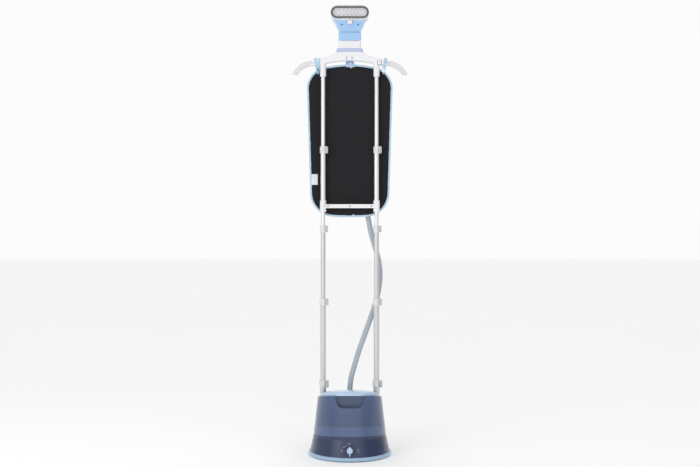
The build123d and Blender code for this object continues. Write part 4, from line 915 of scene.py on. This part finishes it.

# %% [markdown]
# The middle tab is a folded ribbon with a small white ring, hooked on a white tongue between two slots in
# the hanger, whose dark insides are painted shade. A white catch sits on the right ribbon, and a white push
# button on the right shoulder frees the hanger; the dark ring round it is painted shade in its gap.

# %% Middle tab, catches and button
TAB_SLOT = "board_hooks"
TAB_PLACE = (3 * MM, 0.073, 1.516)
TAB_SIZE = (36 * MM, 4 * MM, 15 * MM)
tab = block("middle_tab", TAB_PLACE, TAB_SIZE, 1.8 * MM, loop_cloth, "hanger", TAB_SLOT)
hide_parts("board_hooks")
FOLD_PLACE = (3 * MM, 0.070, 1.519)
FOLD_SIZE = (13 * MM, 5 * MM, 17 * MM)
block("tab_fold", FOLD_PLACE, FOLD_SIZE, 2 * MM, band_plastic, "hanger", TAB_SLOT)
bpy.ops.mesh.primitive_torus_add(
    major_radius=4.2 * MM,
    minor_radius=1.3 * MM,
    major_segments=28,
    minor_segments=10,
    location=(5 * MM, 0.0690, 1.5095),
    rotation=(math.radians(90), 0, 0),
)
tab_ring = settle(bpy.context.object, "tab_ring")
smooth(tab_ring)
dress(tab_ring, white_plastic, "hanger", TAB_SLOT)
hanger_shell = bpy.data.objects["soft_hanger_body"]
HOOK_HEIGHT = 1.541
BUTTON_PLACE = (0.116, 1.522)
CATCH_PLACE = (0.1315, 0.0455, 1.492)


def on_hanger(name, x, z, size, edge, material):
    """A small block whose middle lies on the hanger's front face."""
    size = [length * MM for length in size]
    return block(name, front_of(hanger_shell, x, z), size, edge * MM, material, "hanger", "hanger_body")


# Painted shade: dark strips stand for the shade inside the two slots and in the gap round the button.
on_hanger("slot_shade_left", -12.6 * MM, HOOK_HEIGHT, (2.0, 1.0, 13), 0.3, shadow_plastic)
on_hanger("slot_shade_right", 9 * MM, HOOK_HEIGHT, (2.0, 1.0, 13), 0.3, shadow_plastic)
on_hanger("hook_tongue", -1.8 * MM, HOOK_HEIGHT, (15, 2.4, 15), 0.9, white_plastic)
on_hanger("button_gap_shade", *BUTTON_PLACE, (17, 1.2, 16), 0.5, shadow_plastic)
on_hanger("hanger_button", *BUTTON_PLACE, (13.5, 3.6, 14), 1.5, white_plastic)
catch_size = (9 * MM, 3 * MM, 15 * MM)
block("ribbon_catch", CATCH_PLACE, catch_size, 1.2 * MM, white_plastic, "hanger", TAB_SLOT, turn=14)

# %% [markdown]
# ### Label and tape end
# A blank white label is sewn to the cover's left edge, and the edge tape's two ends meet at the bottom in a
# small folded corner.

# %% Label and tape end
LABEL_SIZE = (25 * MM, 0.9 * MM, 42 * MM)
spot = front_of(cover, -0.139, 1.066)
block("cover_label", spot, LABEL_SIZE, 0.3 * MM, label_cloth, "hanger", "board_panel")
END_PLACE = (0.014, 0.0765, 0.9235)
END_SIZE = (9 * MM, 2 * MM, 9 * MM)
block("tape_end", END_PLACE, END_SIZE, 0.6 * MM, edge_tape_cloth, "hanger", "board_binding", turn=45)

# %% [markdown]
# ### Dial marks
# The printed marks round the knob are generic: a rising line for more steam with a dot at each end, a dot on
# the left for off and an underlined drop on the right. Each is a thin raised print laid on the housing where
# a ray along +Y meets it.


# %% Dial marks
DIAL_CENTRE = 0.0395
DIAL_SHIFT = -1.5
PRINT = 0.5 * MM
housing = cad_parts["lower_housing"]


def mark(name, x, up, width, height, turn=0.0):
    spot = front_of(housing, (x + DIAL_SHIFT) * MM, DIAL_CENTRE + up * MM)
    size = (width * MM, PRINT, height * MM)
    return block(name, spot, size, 0.2 * MM, print_white, "base", "lower_housing", turn=turn, segments=1)


LINE_START = Vector((-21, 15))
LINE_END = Vector((-3, 27))
LINE_STEPS = 6
LINE_TURN = -math.degrees(math.atan2(LINE_END.y - LINE_START.y, LINE_END.x - LINE_START.x))
for step in range(LINE_STEPS):
    place = LINE_START.lerp(LINE_END, (step + 0.5) / LINE_STEPS)
    mark(f"steam_line_{step}", place.x, place.y, 4.2, 0.9, turn=LINE_TURN)
for name, x, up, across in (
    ("line_start_dot", LINE_START.x, LINE_START.y, 3.4),
    ("line_end_dot", 0.5, 28, 3.8),
    ("off_dot", -27, 4, 4.4),
    ("steam_drop", 32, 5, 4.6),
):
    spot = front_of(housing, (x + DIAL_SHIFT) * MM, DIAL_CENTRE + up * MM)
    lens(name, spot, (across * MM, 2 * PRINT, across * MM), print_white, "base", "lower_housing")
mark("off_rule_left", -30.5, -3.5, 4, 0.8)
mark("off_rule_right", -25.5, -3.5, 4, 0.8)
for step in range(4):
    mark(f"steam_rule_{step}", 26 + 4 * step, -2.5, 4.2, 0.9)

# %% [markdown]
# ## Floor and light
# A pale floor and a white sky give the soft, shadowless light of a product picture. White parts need darker
# surroundings to show their edges, as photographers set black cards at both sides, so the sky dims towards
# left and right. Two soft boxes model the round shapes, the left one stronger.

# %% Studio
bpy.context.scene.view_settings.view_transform = "Standard"
bpy.ops.mesh.primitive_plane_add(size=60)
floor = bpy.context.object
floor.name = "studio_floor"
paper = Finish("studio_paper", roughness=0.9, specular_ior_level=0.1, emission_strength=0.12)
paper.feed("Base Color", paper.blend(paper.noise(0.8, 2.0), (0.95, 0.95, 0.955, 1), (0.98, 0.98, 0.98, 1)))
paper.feed("Emission Color", (1, 1, 1, 1))
floor.data.materials.append(paper.material)
SKY_MIDDLE = 0.97
SKY_LEFT = 0.5
SKY_RIGHT = 0.24
sky = bpy.data.worlds.new("studio_sky")
sky.use_nodes = True
tree = sky.node_tree
direction = tree.nodes.new("ShaderNodeTexCoord")
split = tree.nodes.new("ShaderNodeSeparateXYZ")
tree.links.new(direction.outputs["Generated"], split.inputs[0])
across = Signal(tree, split.outputs[0])


def fading(value, to_value):
    """The sky's strength from the middle of the view to one side."""
    fade = tree.nodes.new("ShaderNodeMapRange")
    fade.interpolation_type = "SMOOTHSTEP"
    limits = {"From Min": 0.42, "From Max": 0.85, "To Min": SKY_MIDDLE, "To Max": to_value}
    for name, number in limits.items():
        fade.inputs[name].default_value = number
    tree.links.new(value.socket, fade.inputs["Value"])
    return Signal(tree, fade.outputs[0])


right_sky = fading(across, SKY_RIGHT)
strength = right_sky.math("MINIMUM", right_sky, fading(-1 * across, SKY_LEFT))
background = tree.nodes["Background"]
background.inputs["Color"].default_value = (1, 1, 1, 1)
tree.links.new(strength.socket, background.inputs["Strength"])
bpy.context.scene.world = sky


def softbox(name, energy, size, place, aim):
    """A square area light that looks at a point."""
    lamp = bpy.data.lights.new(name, "AREA")
    lamp.energy = energy
    lamp.size = size
    light = bpy.data.objects.new(name, lamp)
    light.location = place
    light.rotation_euler = (Vector(aim) - Vector(place)).to_track_quat("-Z", "Y").to_euler()
    bpy.context.scene.collection.objects.link(light)


softbox("left_softbox", 16, 1.4, (-2.0, -2.4, 1.4), (0, 0, 0.6))
softbox("right_softbox", 3, 1.2, (2.2, -2.0, 1.9), (0, 0, 0.9))
print("lights", 2)

# %% [markdown]
# ## Last update
# The view layer is brought up to date once more.

# %% Last update
bpy.context.view_layer.update()
